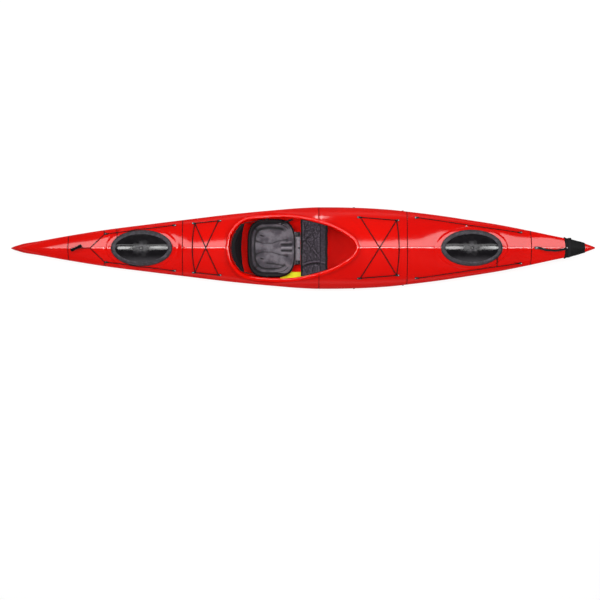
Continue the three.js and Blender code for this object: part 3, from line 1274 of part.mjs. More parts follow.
function handleSolid() {
  const start = plateTop + FIT_GAP + HANDLE_THICKNESS / 2;
  const end = deckHeight(handleFront, 0) + 2 * FIT_GAP + SLEEVE_THICKNESS + HANDLE_THICKNESS / 2;
  const middle = handleRunShares.map((share) => {
    const t = Math.max(share - HANDLE_FLAT_SHARE, 0) / (1 - HANDLE_FLAT_SHARE);
    const arch = 4 * t * (1 - t);
    return vector(
      THREE.MathUtils.lerp(handleRear, handleFront, share),
      -HANDLE_SWAY * arch,
      THREE.MathUtils.lerp(start, end, t) + HANDLE_RISE * arch,
    );
  });
  const rings = middle.map((point, i) => {
    const ahead = middle[Math.min(i + 1, middle.length - 1)];
    const tangent = ahead.clone().sub(middle[Math.max(i - 1, 0)]);
    if (i === 0 || i === 1) tangent.set(1, 0, 0);
    const up = tangent.clone().cross(vector(0, 1, 0)).normalize().multiplyScalar(-HANDLE_THICKNESS / 2);
    const half = HANDLE_WIDTH / 2;
    return [
      vector(point.x + up.x, point.y - half, point.z + up.z),
      vector(point.x + up.x, point.y + half, point.z + up.z),
      vector(point.x - up.x, point.y + half, point.z - up.z),
      vector(point.x - up.x, point.y - half, point.z - up.z),
    ];
  });
  const hole = rodSolid(
    handleScrew,
    handleScrew.clone().setZ(handleBase + OVERRUN),
    HANDLE_SCREW_RADIUS + FIT_GAP,
  );
  return ringSolid(rings).subtract(hole).subtract(hullVolume(-2 * FIT_GAP - SLEEVE_THICKNESS));
}
place("bow_handle_plate", handlePlateSolid(), finishes.steel);
place("bow_handle", handleSolid(), finishes.fabric);

// Tethers that keep the hatch covers to the lines beside them
const tethers = [
  { name: "stern", hatch: hatches[0], side: 1, share: STERN_TETHER_SHARE, route: sternRoute },
  { name: "bow", hatch: hatches[1], side: -1, share: BOW_TETHER_SHARE, route: bowRoute },
];
for (const { name, hatch, side, share, route } of tethers) {
  const x = hatch.x + HATCH_HALF_LENGTH * share;
  const edge = HATCH_HALF_WIDTH * Math.sqrt(1 - share * share);
  const drop = hatch.camber * (1 - share * share);
  const skirt = hatch.top + hatch.slope * HATCH_HALF_LENGTH * share - drop - HATCH_SKIRT_DEPTH / 2;
  const [from, to] = route;
  const line = Math.abs(THREE.MathUtils.mapLinear(x, from.x, to.x, from.y, to.y));
  const far = line - LINE_RADIUS - 2 * TETHER_RADIUS - FIT_GAP;
  const points = [
    vector(x, side * edge, skirt),
    onDeck(x, (side * (edge + far)) / 2, 2 * TETHER_RADIUS),
    onDeck(x, side * far, TETHER_RADIUS),
  ];
  const reaches = [-HATCH_SKIRT_DEPTH - OVERRUN, OVERRUN];
  const lid = ringSolid(reaches.map((lift) => ovalRing(hatch, -FIT_GAP, 1, lift)));
  const tether = cordSolid(points, TETHER_RADIUS, TETHER_STEPS).subtract(outsideSkin).subtract(lid);
  place(`${name}_cover_tether`, tether, finishes.cord);
}

export default kayak;
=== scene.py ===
"""Finished pieces of a take-apart sea kayak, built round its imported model.

Metres, +X towards the bow, +Y to port, +Z up, the same frame as the model.
"""

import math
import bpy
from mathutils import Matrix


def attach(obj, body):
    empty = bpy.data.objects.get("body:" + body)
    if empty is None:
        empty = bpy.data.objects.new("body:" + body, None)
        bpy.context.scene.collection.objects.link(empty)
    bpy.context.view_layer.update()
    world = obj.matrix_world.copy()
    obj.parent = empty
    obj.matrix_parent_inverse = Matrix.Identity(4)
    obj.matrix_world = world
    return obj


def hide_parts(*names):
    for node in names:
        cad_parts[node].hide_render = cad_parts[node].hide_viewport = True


bl_info = {
    "name": "Take-apart sea kayak",
    "version": (1, 0, 0),
    "blender": (4, 5, 0),
    "location": "View3D > Sidebar > Kayak",
    "description": "Builds the hull, hatches, seat, rigging and handles of a sea kayak",
    "category": "Add Mesh",
}

from collections import namedtuple

import bmesh
import bpy
import numpy as np
from mathutils import Vector, noise

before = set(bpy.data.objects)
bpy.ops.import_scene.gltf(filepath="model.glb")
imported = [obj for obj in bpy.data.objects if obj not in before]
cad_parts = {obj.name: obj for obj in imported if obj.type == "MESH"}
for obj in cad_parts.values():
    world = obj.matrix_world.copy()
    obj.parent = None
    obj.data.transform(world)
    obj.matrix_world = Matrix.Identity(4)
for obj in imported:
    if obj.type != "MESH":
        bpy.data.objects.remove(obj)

# Overall sizes
LENGTH = 4.32
HALF_BEAM = 0.3025
CROWN_HEIGHT = 0.4
SHEER_HEIGHT = 0.172
STEM_RISE = 0.276
KEEL_FLAT = 0.06
KEEL_FLAT_MOST_SHARE = 0.6
BILGE_POWER = 0.8
WALL = 0.005
FIT_GAP = 0.0003
FORM_PASSES = 5

# Seams between the hull sections
SEAM_GAP = 0.003
SEAM_EASE = 0.0015
GASKET_THICKNESS = 0.0024
GASKET_RECESS = 0.0012
BEAD_FOOT = 0.0011
BEAD_CROWN = 0.0008
BEAD_RISE = 0.0003
SPIGOT_LENGTH = 0.02
SPIGOT_WALL = 0.004
SPIGOT_CLEARANCE = 0.0008
SPIGOT_ROOT = 0.014
BULKHEAD_THICKNESS = 0.012
BULKHEAD_SETBACK = 0.07
LEAN_REACH = 0.17
CAVITY_START_SHARE = 0.022
CAVITY_END_SHARE = 0.958

# Latch keepers
LATCH_WIDTH = 0.018
KEEPER_MARGIN = 0.002
KEEPER_HEIGHT = 0.015
KEEPER_CREST = 0.003
KEEPER_START = 0.0255
KEEPER_SINK = 0.003
HOOK_SLOPE = 0.85
LATCH_ANGLES = (math.radians(36), math.radians(18))
LATCH_REACH = 0.034

# Cockpit coaming
COAMING_REAR = -0.538
COAMING_LENGTH = 0.935
COAMING_HALF_WIDTH = 0.225
COAMING_TOP = 0.42
COAMING_RISER = 0.006
COAMING_LIP = 0.028
COAMING_CORNERS = 48
OPENING_FLOOR = 0.15
ANCHOR_X = -0.262
ANCHOR_Z = 0.226
ANCHOR_RADIUS = 0.0045
ANCHOR_LENGTH = 0.016

# Hatches
HATCH_HALF_LENGTH = 0.2235
HATCH_HALF_WIDTH = 0.1295
SKIRT_WALL = 0.006
SKIRT_DEPTH = 0.017
COVER_WALL = 0.0045
DOME_RISE = 0.007
BAND_WIDTH = 0.028
CREST_WIDTH = 0.02
RIM_CLEARANCE = 0.0004
RIM_WALL = 0.018
PLATEAU_LENGTH = 0.05
PLATEAU_WIDTH = 0.0315
PLATEAU_RISE = 0.0055
PLATEAU_SHOULDER = 0.012

# Seat pad and what is round it
SEAT_REAR = -0.406
SEAT_LENGTH = 0.353
SEAT_HALF_WIDTH = 0.216
SEAT_BASE = 0.066
SEAT_THICKNESS = 0.03
SEAT_RIM_RISE = 0.056
SEAT_FRONT_RISE = 0.008
SEAT_MIDDLE = SEAT_REAR + SEAT_LENGTH / 2
SEAT_FRONT_START = 0.35
SEAT_FRONT_END = 0.85
SEAT_CHANNEL_DEPTH = 0.009
SEAT_CORNER_POWER = 0.6
BAND_TOP_X = -0.514
BAND_TOP_SWEEP = 0.081
BAND_FOOT_X = -0.459
BAND_FOOT_SWEEP = 0.024
BAND_TOP_Z = 0.399
BAND_TOP_DROP = 0.075
BAND_FOOT_Z = 0.232
BAND_FOOT_LIFT = 0.03
BAND_HALF_WIDTH = 0.18
BAND_THICKNESS = 0.036
BAND_END_THICKNESS = 0.022
BAND_CORNER_POWER = 0.6
STRAP_REAR = (-0.428, 0.1818, 0.296)
STRAP_THICKNESS = 0.003
STRAP_EYE_RADIUS = 0.014
BAG_REAR = -0.006
BAG_LENGTH = 0.189
BAG_DROP = 0.04
BAG_SAG = 0.036
BAG_THICKNESS = 0.014
BLOCK_REAR = -0.165
BLOCK_LENGTH = 0.225
BLOCK_INNER = 0.176
BLOCK_TOP = 0.064
BAR_REAR = SEAT_REAR + SEAT_LENGTH + 0.0025
BAR_FRONT = SEAT_REAR + SEAT_LENGTH + 0.0365
SEAT_RIM_SHARE = 0.835
HEM = 0.0035

# Foot braces
RAIL_REAR_SHARE = 0.58843
RAIL_BOLT_SPACING = 0.363
RAIL_Z = 0.172

# Rigging
CORD_LIFT = 0.002
FITTING_LENGTH = 0.022
FITTING_WIDTH = 0.0125
BUNGEE_BOW = 0.017
LINE_LID_CLEARANCE = 0.01
PLATEAU_SCREW = (1.214, 0.1618)
STERN_TETHER_SHARE = -0.82
BOW_TETHER_SHARE = 0.84
TOGGLE_LENGTH = 0.09
TOGGLE_LEAN = 0.34
TOGGLE_YAW = 0.42
TOGGLE_CLEARANCE = 0.003
HANDLE_RISE = 0.026
HANDLE_SWAY = 0.02
HANDLE_WIDTH = 0.02
HANDLE_THICKNESS = 0.005
HANDLE_FLAT_SHARE = 0.07
HANDLE_PLATE_LENGTH = 0.034
HANDLE_PLATE_THICKNESS = 0.003
HANDLE_PLATE_CORNER_POWER = 0.35
SLEEVE_LEAN = 0.14
SLEEVE_THICKNESS = 0.0025

# Places along the length, as shares of it
APEX_SHARE = 0.13634
TOGGLE_SHARE = 0.11296
HANDLE_REAR_SHARE = 0.90093
HANDLE_FRONT_SHARE = 0.95417
SLEEVE_REAR_SHARE = 0.95
SLEEVE_FRONT_SHARE = 0.98287

# Camera, and the reach of the floor
CAMERA_PLACE = (-0.0166, -0.385, 25.0)
CAMERA_LENS = 200.95
FLOOR_RADIUS = 18

# Fineness
STATION_STEP = 0.018
LOWER_STEPS = 16
UPPER_STEPS = 22
OUTLINE_FINENESS = 6
OVAL_POINTS = 144
SMOOTH_DEGREES = 35
SKIN_REACH = 0.0009
SKIN_AGREEMENT = 0.9

# Hull form: pairs of a share of the length and a share of the size that the curve follows
half_beam_shares = [
    (0, 0.012), (0.004, 0.04), (0.012, 0.075), (0.022, 0.115), (0.0445, 0.166), (0.0924, 0.288),
    (0.164, 0.452), (0.236, 0.583), (0.308, 0.71), (0.38, 0.832), (0.452, 0.93), (0.5, 0.984),
    (0.5285, 1), (0.5475, 1), (0.595, 0.987), (0.643, 0.95), (0.691, 0.877), (0.739, 0.79),
    (0.787, 0.685), (0.835, 0.575), (0.883, 0.44), (0.931, 0.292), (0.955, 0.22), (0.979, 0.128),
    (0.992, 0.062), (1, 0.018),
]
ridge_shares = [
    (0, 0.408), (0.0445, 0.425), (0.0924, 0.46), (0.137, 0.502), (0.1608, 0.52), (0.1745, 0.514),
    (0.226, 0.562), (0.2703, 0.62), (0.2823, 0.655), (0.297, 0.722), (0.332, 0.803),
    (0.356, 0.815), (0.384, 0.83), (0.402, 0.8), (0.42, 0.735), (0.438, 0.675), (0.455, 0.75),
    (0.472, 0.865), (0.498, 0.98), (0.52, 1.017), (0.5285, 1.022), (0.5475, 1.022),
    (0.5766, 1.002), (0.594, 0.98), (0.628, 0.962), (0.66, 0.91), (0.679, 0.882), (0.725, 0.783),
    (0.733, 0.755), (0.79, 0.705), (0.8365, 0.657), (0.8495, 0.673), (0.86, 0.68), (0.883, 0.673),
    (0.915, 0.655), (0.951, 0.69), (0.979, 0.722), (0.994, 0.72), (1, 0.7),
]
sheer_shares = [
    (0, 0.62), (0.1, 0.8), (0.2, 0.86), (0.3, 0.94), (0.5, 0.985), (0.69, 1), (0.79, 1.07),
    (0.89, 1.25), (0.93, 1.38), (0.96, 1.49), (0.98, 1.55), (1, 1.585),
]
keel_shares = [
    (0, 0.16), (0.003, 0.085), (0.007, 0.03), (0.0137, 0), (0.66, 0), (0.691, 0.018),
    (0.74, 0.028), (0.787, 0.036), (0.835, 0.062), (0.859, 0.098), (0.883, 0.17), (0.907, 0.315),
    (0.931, 0.47), (0.955, 0.635), (0.979, 0.805), (0.992, 0.9), (1, 0.96),
]
keel_flat_shares = [
    (0, 0.03), (0.06, 0.16), (0.15, 0.6), (0.3, 1), (0.7, 1), (0.8, 0.6), (0.88, 0.22), (1, 0.03),
]
crown_shares = [
    (0, 0.56), (0.13, 0.6), (0.17, 0.84), (0.28, 0.84), (0.31, 0.6), (0.7, 0.6), (0.745, 0.84),
    (0.84, 0.84), (0.88, 0.6), (1, 0.7),
]
coaming_outline_shares = [
    (0, 0), (0.012, 0.32), (0.05, 0.59), (0.095, 0.8), (0.154, 0.915), (0.233, 0.96), (0.415, 1),
    (0.565, 0.945), (0.681, 0.836), (0.767, 0.73), (0.87, 0.53), (0.945, 0.33), (0.985, 0.16),
    (1, 0),
]
coaming_height_shares = [
    (-0.02, 0.836), (0, 0.833), (0.03, 0.81), (0.105, 0.728), (0.19, 0.645), (0.288, 0.612),
    (0.35, 0.624), (0.44, 0.676), (0.525, 0.737), (0.65, 0.82), (0.71, 0.852), (0.77, 0.892),
    (0.868, 0.95), (0.945, 0.988), (1, 1), (1.04, 1.002),
]
seat_lift_shares = [
    (0, 0), (0.54, 0), (0.66, 0.08), (0.76, 0.3), (0.84, 0.75), (0.9, 0.97), (0.96, 1), (1, 0.8),
]
aft_deck_shares = ((0.3126, 0.84), (0.3601, 0.83))
fore_deck_shares = ((0.5955, 0.755), (0.6647, 0.73))
stern_deck_shares = ((0.1615, 0.78), (0.2823, 0.835))
bow_deck_shares = ((0.6941, 0.85), (0.875, 0.815))
passing_shares = (-0.45, -0.15, 0.15, 0.45)

# Sewing of the seat pad: wavy seams, slots and front grooves
SEAT_SEAMS = [
    [
        (-0.359, 0.06), (-0.325, 0.047), (-0.292, 0.037), (-0.224, 0.037), (-0.167, 0.057),
        (-0.064, 0.069),
    ],
    [
        (-0.354, -0.051), (-0.325, -0.037), (-0.292, -0.028), (-0.224, -0.03), (-0.156, -0.051),
        (-0.064, -0.068),
    ],
    [(-0.262, -0.112), (-0.212, -0.116), (-0.145, -0.128), (-0.09, -0.148), (-0.068, -0.157)],
]
# a broad hollow inside the port rim, which the seat fabric darkens with painted shade
SEAT_VALLEYS = [(-0.235, 0.143, 0.1, 0.017)]
SEAT_SLOTS = [(-0.3, 0.092), (-0.3, -0.078)]
SEAT_GROOVES = [0.026, -0.019]

Seam = namedtuple("Seam", "name x outward lean")
Hatch = namedtuple("Hatch", "name x top slope camber")
Form = namedtuple("Form", "beam ridge sheer keel flat crown")

SIDES = (("port", 1), ("starboard", -1))


def share_curve(pairs):
    """A smooth curve through pairs of shares that never overshoots them."""
    at, value = np.array(pairs, float).T
    rise = np.diff(value) / np.diff(at)
    before, after = rise[:-1], rise[1:]
    total = np.where(before + after == 0, 1, before + after)
    inner = np.where(before * after > 0, 2 * before * after / total, 0)
    slope = np.concatenate([rise[:1], inner, rise[-1:]])

    def curve(share):
        share = np.clip(share, at[0], at[-1])
        i = np.clip(np.searchsorted(at, share) - 1, 0, len(rise) - 1)
        run = at[i + 1] - at[i]
        t = (share - at[i]) / run
        ease = t * t * (3 - 2 * t)
        bend = slope[i] * (1 - t) ** 2 * t - slope[i + 1] * t * t * (1 - t)
        return value[i] * (1 - ease) + value[i + 1] * ease + bend * run

    return curve


beam_at = share_curve(half_beam_shares)
ridge_at = share_curve(ridge_shares)
sheer_at = share_curve(sheer_shares)
keel_at = share_curve(keel_shares)
flat_at = share_curve(keel_flat_shares)
crown_at = share_curve(crown_shares)
lip_at = share_curve(coaming_height_shares)
outline_at = share_curve(coaming_outline_shares)
seat_lift_at = share_curve(seat_lift_shares)


def place_of(share):
    return (share - 0.5) * LENGTH


SEAMS = [
    Seam("stern_end", place_of(0.0995), -1, -0.16),
    Seam("stern_hatch", place_of(0.295), -1, 0),
    Seam("cockpit", place_of(0.5285), 1, 0),
    Seam("bow_hatch", place_of(0.6795), 1, 0),
    Seam("bow_end", place_of(0.8905), 1, 0.16),
]
SECTIONS = ["stern_end", "stern_hatch", "aft_cockpit", "forward_cockpit", "bow_hatch", "bow_end"]


def form_at(x, inset=0.0):
    """The lines that shape the hull at a place along it, taken in by an inset."""
    share = x / LENGTH + 0.5
    beam = HALF_BEAM * beam_at(share) - inset
    return Form(
        beam=beam,
        ridge=CROWN_HEIGHT * ridge_at(share) - inset * 1.06,
        sheer=SHEER_HEIGHT * sheer_at(share),
        keel=STEM_RISE * keel_at(share) + inset,
        flat=np.minimum(KEEL_FLAT * flat_at(share), beam * KEEL_FLAT_MOST_SHARE),
        crown=crown_at(share),
    )


def deck_height(x, y):
    """Height of the deck's outer surface."""
    form = form_at(np.asarray(x, float))
    cosine = np.minimum(np.abs(y) / form.beam, 1)
    sine = np.sqrt(1 - cosine * cosine)
    rise = form.crown * sine + (1 - form.crown) * (1 - cosine)
    return form.sheer + (form.ridge - form.sheer) * rise


def hatch_at(name, share, aft_rise, fore_rise, camber):
    x = place_of(share)
    aft = float(deck_height(x - HATCH_HALF_LENGTH, 0)) + aft_rise
    fore = float(deck_height(x + HATCH_HALF_LENGTH, 0)) + fore_rise
    return Hatch(name, x, (aft + fore) / 2, (fore - aft) / (2 * HATCH_HALF_LENGTH), camber)


HATCHES = [
    hatch_at("stern", 0.225, 0.0253, 0.0325, 0.038),
    hatch_at("bow", 0.7898, 0.0246, 0.0235, 0.022),
]


def smoothstep(value, low, high):
    t = np.clip((value - low) / (high - low), 0, 1)
    return t * t * (3 - 2 * t)


def swell(off, width):
    """1 in the middle of a rounded swelling, fading to 0 by about twice its width."""
    return np.exp(-((off / width) ** 2))


def boxy(wave, power):
    """A sine or cosine drawn outwards, which turns a circle into a rounded box."""
    return np.sign(wave) * np.abs(wave) ** power


def full_turn(count):
    """Angles evenly spread round a full turn."""
    return np.linspace(0, 2 * math.pi, count, endpoint=False)


def unit(vector):
    """A vector at a length of one, or each row of several."""
    vector = np.asarray(vector, float)
    return vector / np.linalg.norm(vector, axis=-1, keepdims=True)


def plateau_rise(x, y):
    """How far the oval moulded round each hatch stands above the deck."""
    rise = np.zeros(np.broadcast(x, y).shape)
    for hatch in HATCHES:
        long = HATCH_HALF_LENGTH + PLATEAU_LENGTH
        wide = HATCH_HALF_WIDTH + PLATEAU_WIDTH
        ring = np.hypot((np.asarray(x) - hatch.x) / long, np.asarray(y) / wide)
        rise = rise + PLATEAU_RISE * smoothstep((1 - ring) * wide, 0, PLATEAU_SHOULDER)
    return rise


def deck_top(x, y):
    return deck_height(x, y) + plateau_rise(x, y)


def lip_height(x):
    return COAMING_TOP * lip_at((x - COAMING_REAR) / COAMING_LENGTH)


def opening_half(x):
    """Half the width of the cockpit's opening at a place along it."""
    return COAMING_HALF_WIDTH * outline_at((x - COAMING_REAR) / COAMING_LENGTH)


def lean_at(x):
    """Run over rise of the section at x: the two end seams lean, and the hull near them."""
    lean = 0.0
    for seam in SEAMS:
        near = max(0.0, 1 - abs(x - seam.x) / LEAN_REACH)
        lean += seam.lean * near * near * (3 - 2 * near)
    return lean


lower_angles = np.linspace(math.pi / 2, 0, LOWER_STEPS, endpoint=False)
upper_angles = np.linspace(0, math.pi / 2, UPPER_STEPS + 1)
section_angles = np.concatenate([lower_angles, upper_angles])
section_upper = np.arange(len(section_angles)) >= LOWER_STEPS


def section_points(x, inset=0.0, angle=section_angles, upper=section_upper):
    """Across and height of the corners of a half section, from the keel strip to the ridge."""
    form = form_at(x, inset)
    across, rise = np.cos(angle), np.sin(angle)
    low = form.flat + (form.beam - form.flat) * np.abs(across) ** BILGE_POWER
    low_height = form.sheer - (form.sheer - form.keel) * rise**BILGE_POWER
    climb = form.crown * rise + (1 - form.crown) * (1 - across)
    high_height = form.sheer + (form.ridge - form.sheer) * climb
    return np.where(upper, form.beam * across, low), np.where(upper, high_height, low_height)


def ring_at(x, inset=0.0, lean=None, pivot=0.0):
    """A section all round, from the starboard keel edge over the ridge to the port one.

    It leans as the hull does there, or by a lean of its own about a height.
    """
    if lean is None:
        lean, pivot = lean_at(x), float(form_at(x).sheer)
    at = np.full(len(section_angles), float(x))
    for _ in range(FORM_PASSES):
        at = x + lean * (section_points(at, inset)[1] - pivot)
    across, height = section_points(at, inset)
    half = np.stack([at, -across, height], axis=1)
    half[-1, 1] = 0
    return np.concatenate([half, half[-2::-1] * (1, -1, 1)])


def smoothed(points, fineness, joined=False):
    """Points on a rounded curve through the given ones."""
    points = np.asarray(points, float)
    if joined:
        around = np.concatenate([points[-1:], points, points[:2]])
    else:
        first, last = 2 * points[0] - points[1], 2 * points[-1] - points[-2]
        around = np.concatenate([first[None], points, last[None]])
    t = np.linspace(0, 1, fineness, endpoint=False)[:, None]
    rows = []
    for a, b, c, d in zip(around, around[1:], around[2:], around[3:]):
        rows.append(
            0.5 * (2 * b + (c - a) * t + (2 * a - 5 * b + 4 * c - d) * t**2
                   + (3 * b - a - 3 * c + d) * t**3)
        )
    curve = np.concatenate(rows)
    return curve if joined else np.concatenate([curve, points[-1:]])


def rolling_noise(points, scale, seed=0.0):
    """Smooth noise between about -1 and 1 at each point."""
    return np.array([noise.noise(Vector(p) * scale + Vector((seed, seed, seed))) for p in points])


def relief_of(heights, passes, depth):
    """How far each place of a grid stands out of its surroundings, from -1 in a hollow to 1."""
    around = heights.copy()
    for _ in range(passes):
        for axis in (0, 1):
            edge = np.concatenate([
                np.take(around, [0], axis), around, np.take(around, [-1], axis)
            ], axis)
            size = around.shape[axis]
            before, after = (np.take(edge, np.arange(i, i + size), axis) for i in (0, 2))
            around = (before + 2 * around + after) / 4
    return np.clip((heights - around) / depth, -1, 1)


class Mould:
    """Gathers the surfaces of one piece."""

    def __init__(self):
        self.points = []
        self.relief = []
        self.faces = []
        self.finish_of = []
        self.count = 0

    def add(self, points, relief=0.0):
        points = np.asarray(points, float).reshape(-1, 3)
        index = np.arange(self.count, self.count + len(points))
        self.points.append(points)
        self.relief.append(np.broadcast_to(np.ravel(relief), len(points)))
        self.count += len(points)
        return index

    def sheet(self, index, wrap_rows=False, wrap_columns=False, finish=0):
        """Quads between the rows and columns of an array of point numbers."""
        if wrap_rows:
            index = np.vstack([index, index[:1]])
        if wrap_columns:
            index = np.hstack([index, index[:, :1]])
        quads = np.stack([index[:-1, :-1], index[:-1, 1:], index[1:, 1:], index[1:, :-1]], -1)
        quads = quads.reshape(-1, 4)
        self.faces.extend(quads.tolist())
        self.finish_of.extend([finish] * len(quads))

    def hub(self, ring, finish=0):
        """Closes a ring with triangles to its middle."""
        middle = self.add(np.concatenate(self.points)[ring].mean(axis=0))[0]
        for a, b in zip(ring, np.roll(ring, -1)):
            self.faces.append([int(a), int(b), int(middle)])
            self.finish_of.append(finish)

    def rings(self, rings, joined=False, finish=0):
        """A closed surface through rings of equal count."""
        rings = np.asarray(rings, float)
        index = self.add(rings).reshape(rings.shape[:2])
        self.sheet(index, wrap_rows=joined, wrap_columns=True, finish=finish)
        if not joined:
            self.hub(index[0], finish)
            self.hub(index[-1], finish)
        return self

    def tube(self, path, radius, sides=10, joined=False, flat=1.0, up=None):
        """A round or flattened tube along a path."""
        path = np.asarray(path, float)
        ahead = np.roll(path, -1, axis=0) - np.roll(path, 1, axis=0)
        if not joined:
            ahead[0], ahead[-1] = path[1] - path[0], path[-1] - path[-2]
        ahead = unit(ahead)
        side = np.cross(ahead[0], (0, 0, 1) if up is None else up)
        if np.linalg.norm(side) < 0.05:
            side = np.cross(ahead[0], (0, 1, 0))
        radii = np.broadcast_to(radius, (len(path),))
        turn = full_turn(sides)
        rows = []
        for point, run, size in zip(path, ahead, radii):
            side = unit(side - run * side.dot(run) if up is None else np.cross(run, up))
            lift = np.cross(side, run)
            rows.append(
                point + size * (np.outer(np.cos(turn), side) + flat * np.outer(np.sin(turn), lift))
            )
        return self.rings(rows, joined=joined)

    def lathe(self, base, axis, profile, sides=24, finish=0):
        """Turns pairs of a radius and a distance along an axis."""
        axis = unit(axis)
        side = unit(np.cross(axis, (0, 0, 1) if abs(axis[2]) < 0.9 else (1, 0, 0)))
        lift = np.cross(axis, side)
        turn = full_turn(sides)
        circle = np.outer(np.cos(turn), side) + np.outer(np.sin(turn), lift)
        rows = [np.asarray(base) + axis * run + circle * size for size, run in profile]
        return self.rings(rows, finish=finish)

    def strip(self, path, across, half_width, thickness):
        """A flat band along a path, with rounded edges; across points sideways."""
        path, across = np.asarray(path, float), np.asarray(across, float)
        across = np.broadcast_to(across, path.shape)
        ahead = np.gradient(path, axis=0)
        lift = unit(np.cross(ahead, across))
        side = unit(np.cross(lift, ahead))
        half, edge = thickness / 2, thickness * 0.35
        section = [
            (-half_width, 0), (-half_width + edge, half), (half_width - edge, half),
            (half_width, 0), (half_width - edge, -half), (-half_width + edge, -half),
        ]
        rows = [[p + s * a + u * b for a, b in section] for p, s, u in zip(path, side, lift)]
        return self.rings(rows)

    def cast(self, name, finishes, body, slot, *nodes, degrees=SMOOTH_DEGREES):
        """Builds the piece, smooths it, and seats it on its body."""
        piece = self.build(name, *finishes)
        shade(piece, degrees)
        seat_on(piece, body, slot, *nodes)
        return piece

    def build(self, name, *finishes):
        mesh = bpy.data.meshes.new(name)
        mesh.from_pydata(np.concatenate(self.points).tolist(), [], self.faces)
        mesh.polygons.foreach_set("material_index", self.finish_of)
        relief = np.concatenate(self.relief)
        if relief.any():
            mesh.attributes.new("relief", "FLOAT", "POINT").data.foreach_set("value", relief)
        shaped = bmesh.new()
        shaped.from_mesh(mesh)
        bmesh.ops.remove_doubles(shaped, verts=shaped.verts, dist=1e-7)
        bmesh.ops.recalc_face_normals(shaped, faces=shaped.faces)
        shaped.to_mesh(mesh)
        shaped.free()
        piece = bpy.data.objects.new(name, mesh)
        bpy.context.scene.collection.objects.link(piece)
        for finish in finishes:
            mesh.materials.append(finish)
        return piece


def shade(piece, degrees=SMOOTH_DEGREES):
    """Smooth, with a sharp edge wherever faces meet at more than the angle."""
    mesh = piece.data
    mesh.polygons.foreach_set("use_smooth", [True] * len(mesh.polygons))
    mesh.set_sharp_from_angle(angle=math.radians(degrees))


def seat_on(piece, body, slot, *nodes):
    """Says which body the piece rides on and hides the model's nodes that it stands for. Its slot
    is not used.
    """
    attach(piece, body)
    if nodes:
        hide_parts(*nodes)


def carve(piece, tool, operation):
    """Applies one solid to another, and deletes the tool."""
    modifier = piece.modifiers.new(operation, "BOOLEAN")
    modifier.operation = operation
    modifier.solver = "MANIFOLD"
    modifier.object = tool
    graph = bpy.context.evaluated_depsgraph_get()
    mesh = bpy.data.meshes.new_from_object(piece.evaluated_get(graph), depsgraph=graph)
    if not len(mesh.polygons):
        raise RuntimeError(f"{piece.name}: nothing is left after {operation}")
    old, spent = piece.data, tool.data
    piece.modifiers.clear()
    piece.data = mesh
    bpy.data.meshes.remove(old)
    bpy.data.objects.remove(tool)
    bpy.data.meshes.remove(spent)


def read(items, name, width=1, kind=float):
    """One value of every vertex, face or corner of a mesh."""
    values = np.empty(len(items) * width, kind)
    items.foreach_get(name, values)
    return values.reshape(-1, width) if width > 1 else values


def fair(piece):
    """Gives the hull's outer skin the normals of its true curve, whatever its faces are cut to."""
    mesh = piece.data
    shade(piece)
    corners = read(mesh.loops, "vertex_index", kind=int)
    normals = read(mesh.corner_normals, "vector", 3)
    totals = read(mesh.polygons, "loop_total", kind=int)
    true, off = skin_normals(read(mesh.vertices, "co", 3))
    flat = np.repeat(read(mesh.polygons, "normal", 3), totals, axis=0)
    wanted = true[corners]
    close = (off[corners] < SKIN_REACH) & ((wanted * flat).sum(axis=1) > SKIN_AGREEMENT)
    owner = np.repeat(np.arange(len(totals)), totals)
    whole = np.bincount(owner, weights=close, minlength=len(totals)) == totals
    picked = whole[owner]
    normals[picked] = wanted[picked]
    mesh.normals_split_custom_set(normals.tolist())


def skin_normals(places):
    """Normals of the hull's true skin near each place, and how far each place is from it."""
    x, y, z = places.T
    form = form_at(x)
    upper = z >= form.sheer
    spread = np.linspace(0, math.pi / 2, 721)[None]
    crown = form.crown[:, None]
    climb = (z - form.sheer) / (form.ridge - form.sheer)
    angle = np.empty(len(x))
    for start in range(0, len(x), 20000):
        part = slice(start, start + 20000)
        table = crown[part] * np.sin(spread) + (1 - crown[part]) * (1 - np.cos(spread))
        angle[part] = spread[0, np.argmin(np.abs(table - climb[part, None]), axis=1)]
    fall = np.clip((form.sheer - z) / (form.sheer - form.keel), 0, 1) ** (1 / BILGE_POWER)
    reach = np.clip((np.abs(y) - form.flat) / (form.beam - form.flat), 0, 1) ** (1 / BILGE_POWER)
    low = np.where(fall < 0.707, np.arcsin(fall), np.arccos(reach))
    angle = np.where(upper, angle, low)
    step = 1e-3

    def point(x, angle):
        across, height = section_points(x, 0.0, np.clip(angle, 0, math.pi / 2), upper)
        return np.stack([x, across, height], axis=1)

    along = point(x + step, angle) - point(x - step, angle)
    around = point(x, angle + step) - point(x, angle - step)
    around *= np.where(upper, 1, -1)[:, None]
    normal = np.cross(along, around)
    normal /= np.maximum(np.linalg.norm(normal, axis=1, keepdims=True), 1e-12)
    on_strip = ~upper & (np.abs(y) <= form.flat + 1e-5)
    normal[on_strip] = (0, 0, -1)
    off = np.linalg.norm(point(x, angle) - np.stack([x, np.abs(y), z], axis=1), axis=1)
    off = np.where(on_strip, np.abs(z - form.keel), off)
    normal[:, 1] *= np.sign(np.where(y == 0, 1, y))
    ridge = np.abs(y) < 1e-6
    normal[ridge & upper, 1] = 0
    normal /= np.maximum(np.linalg.norm(normal, axis=1, keepdims=True), 1e-12)
    return normal, off


def linear(red, green, blue):
    """A screen colour from 0 to 255 as Blender's linear one."""
    def one(value):
        value /= 255
        return value / 12.92 if value <= 0.04045 else ((value + 0.055) / 1.055) ** 2.4

    return one(red), one(green), one(blue)


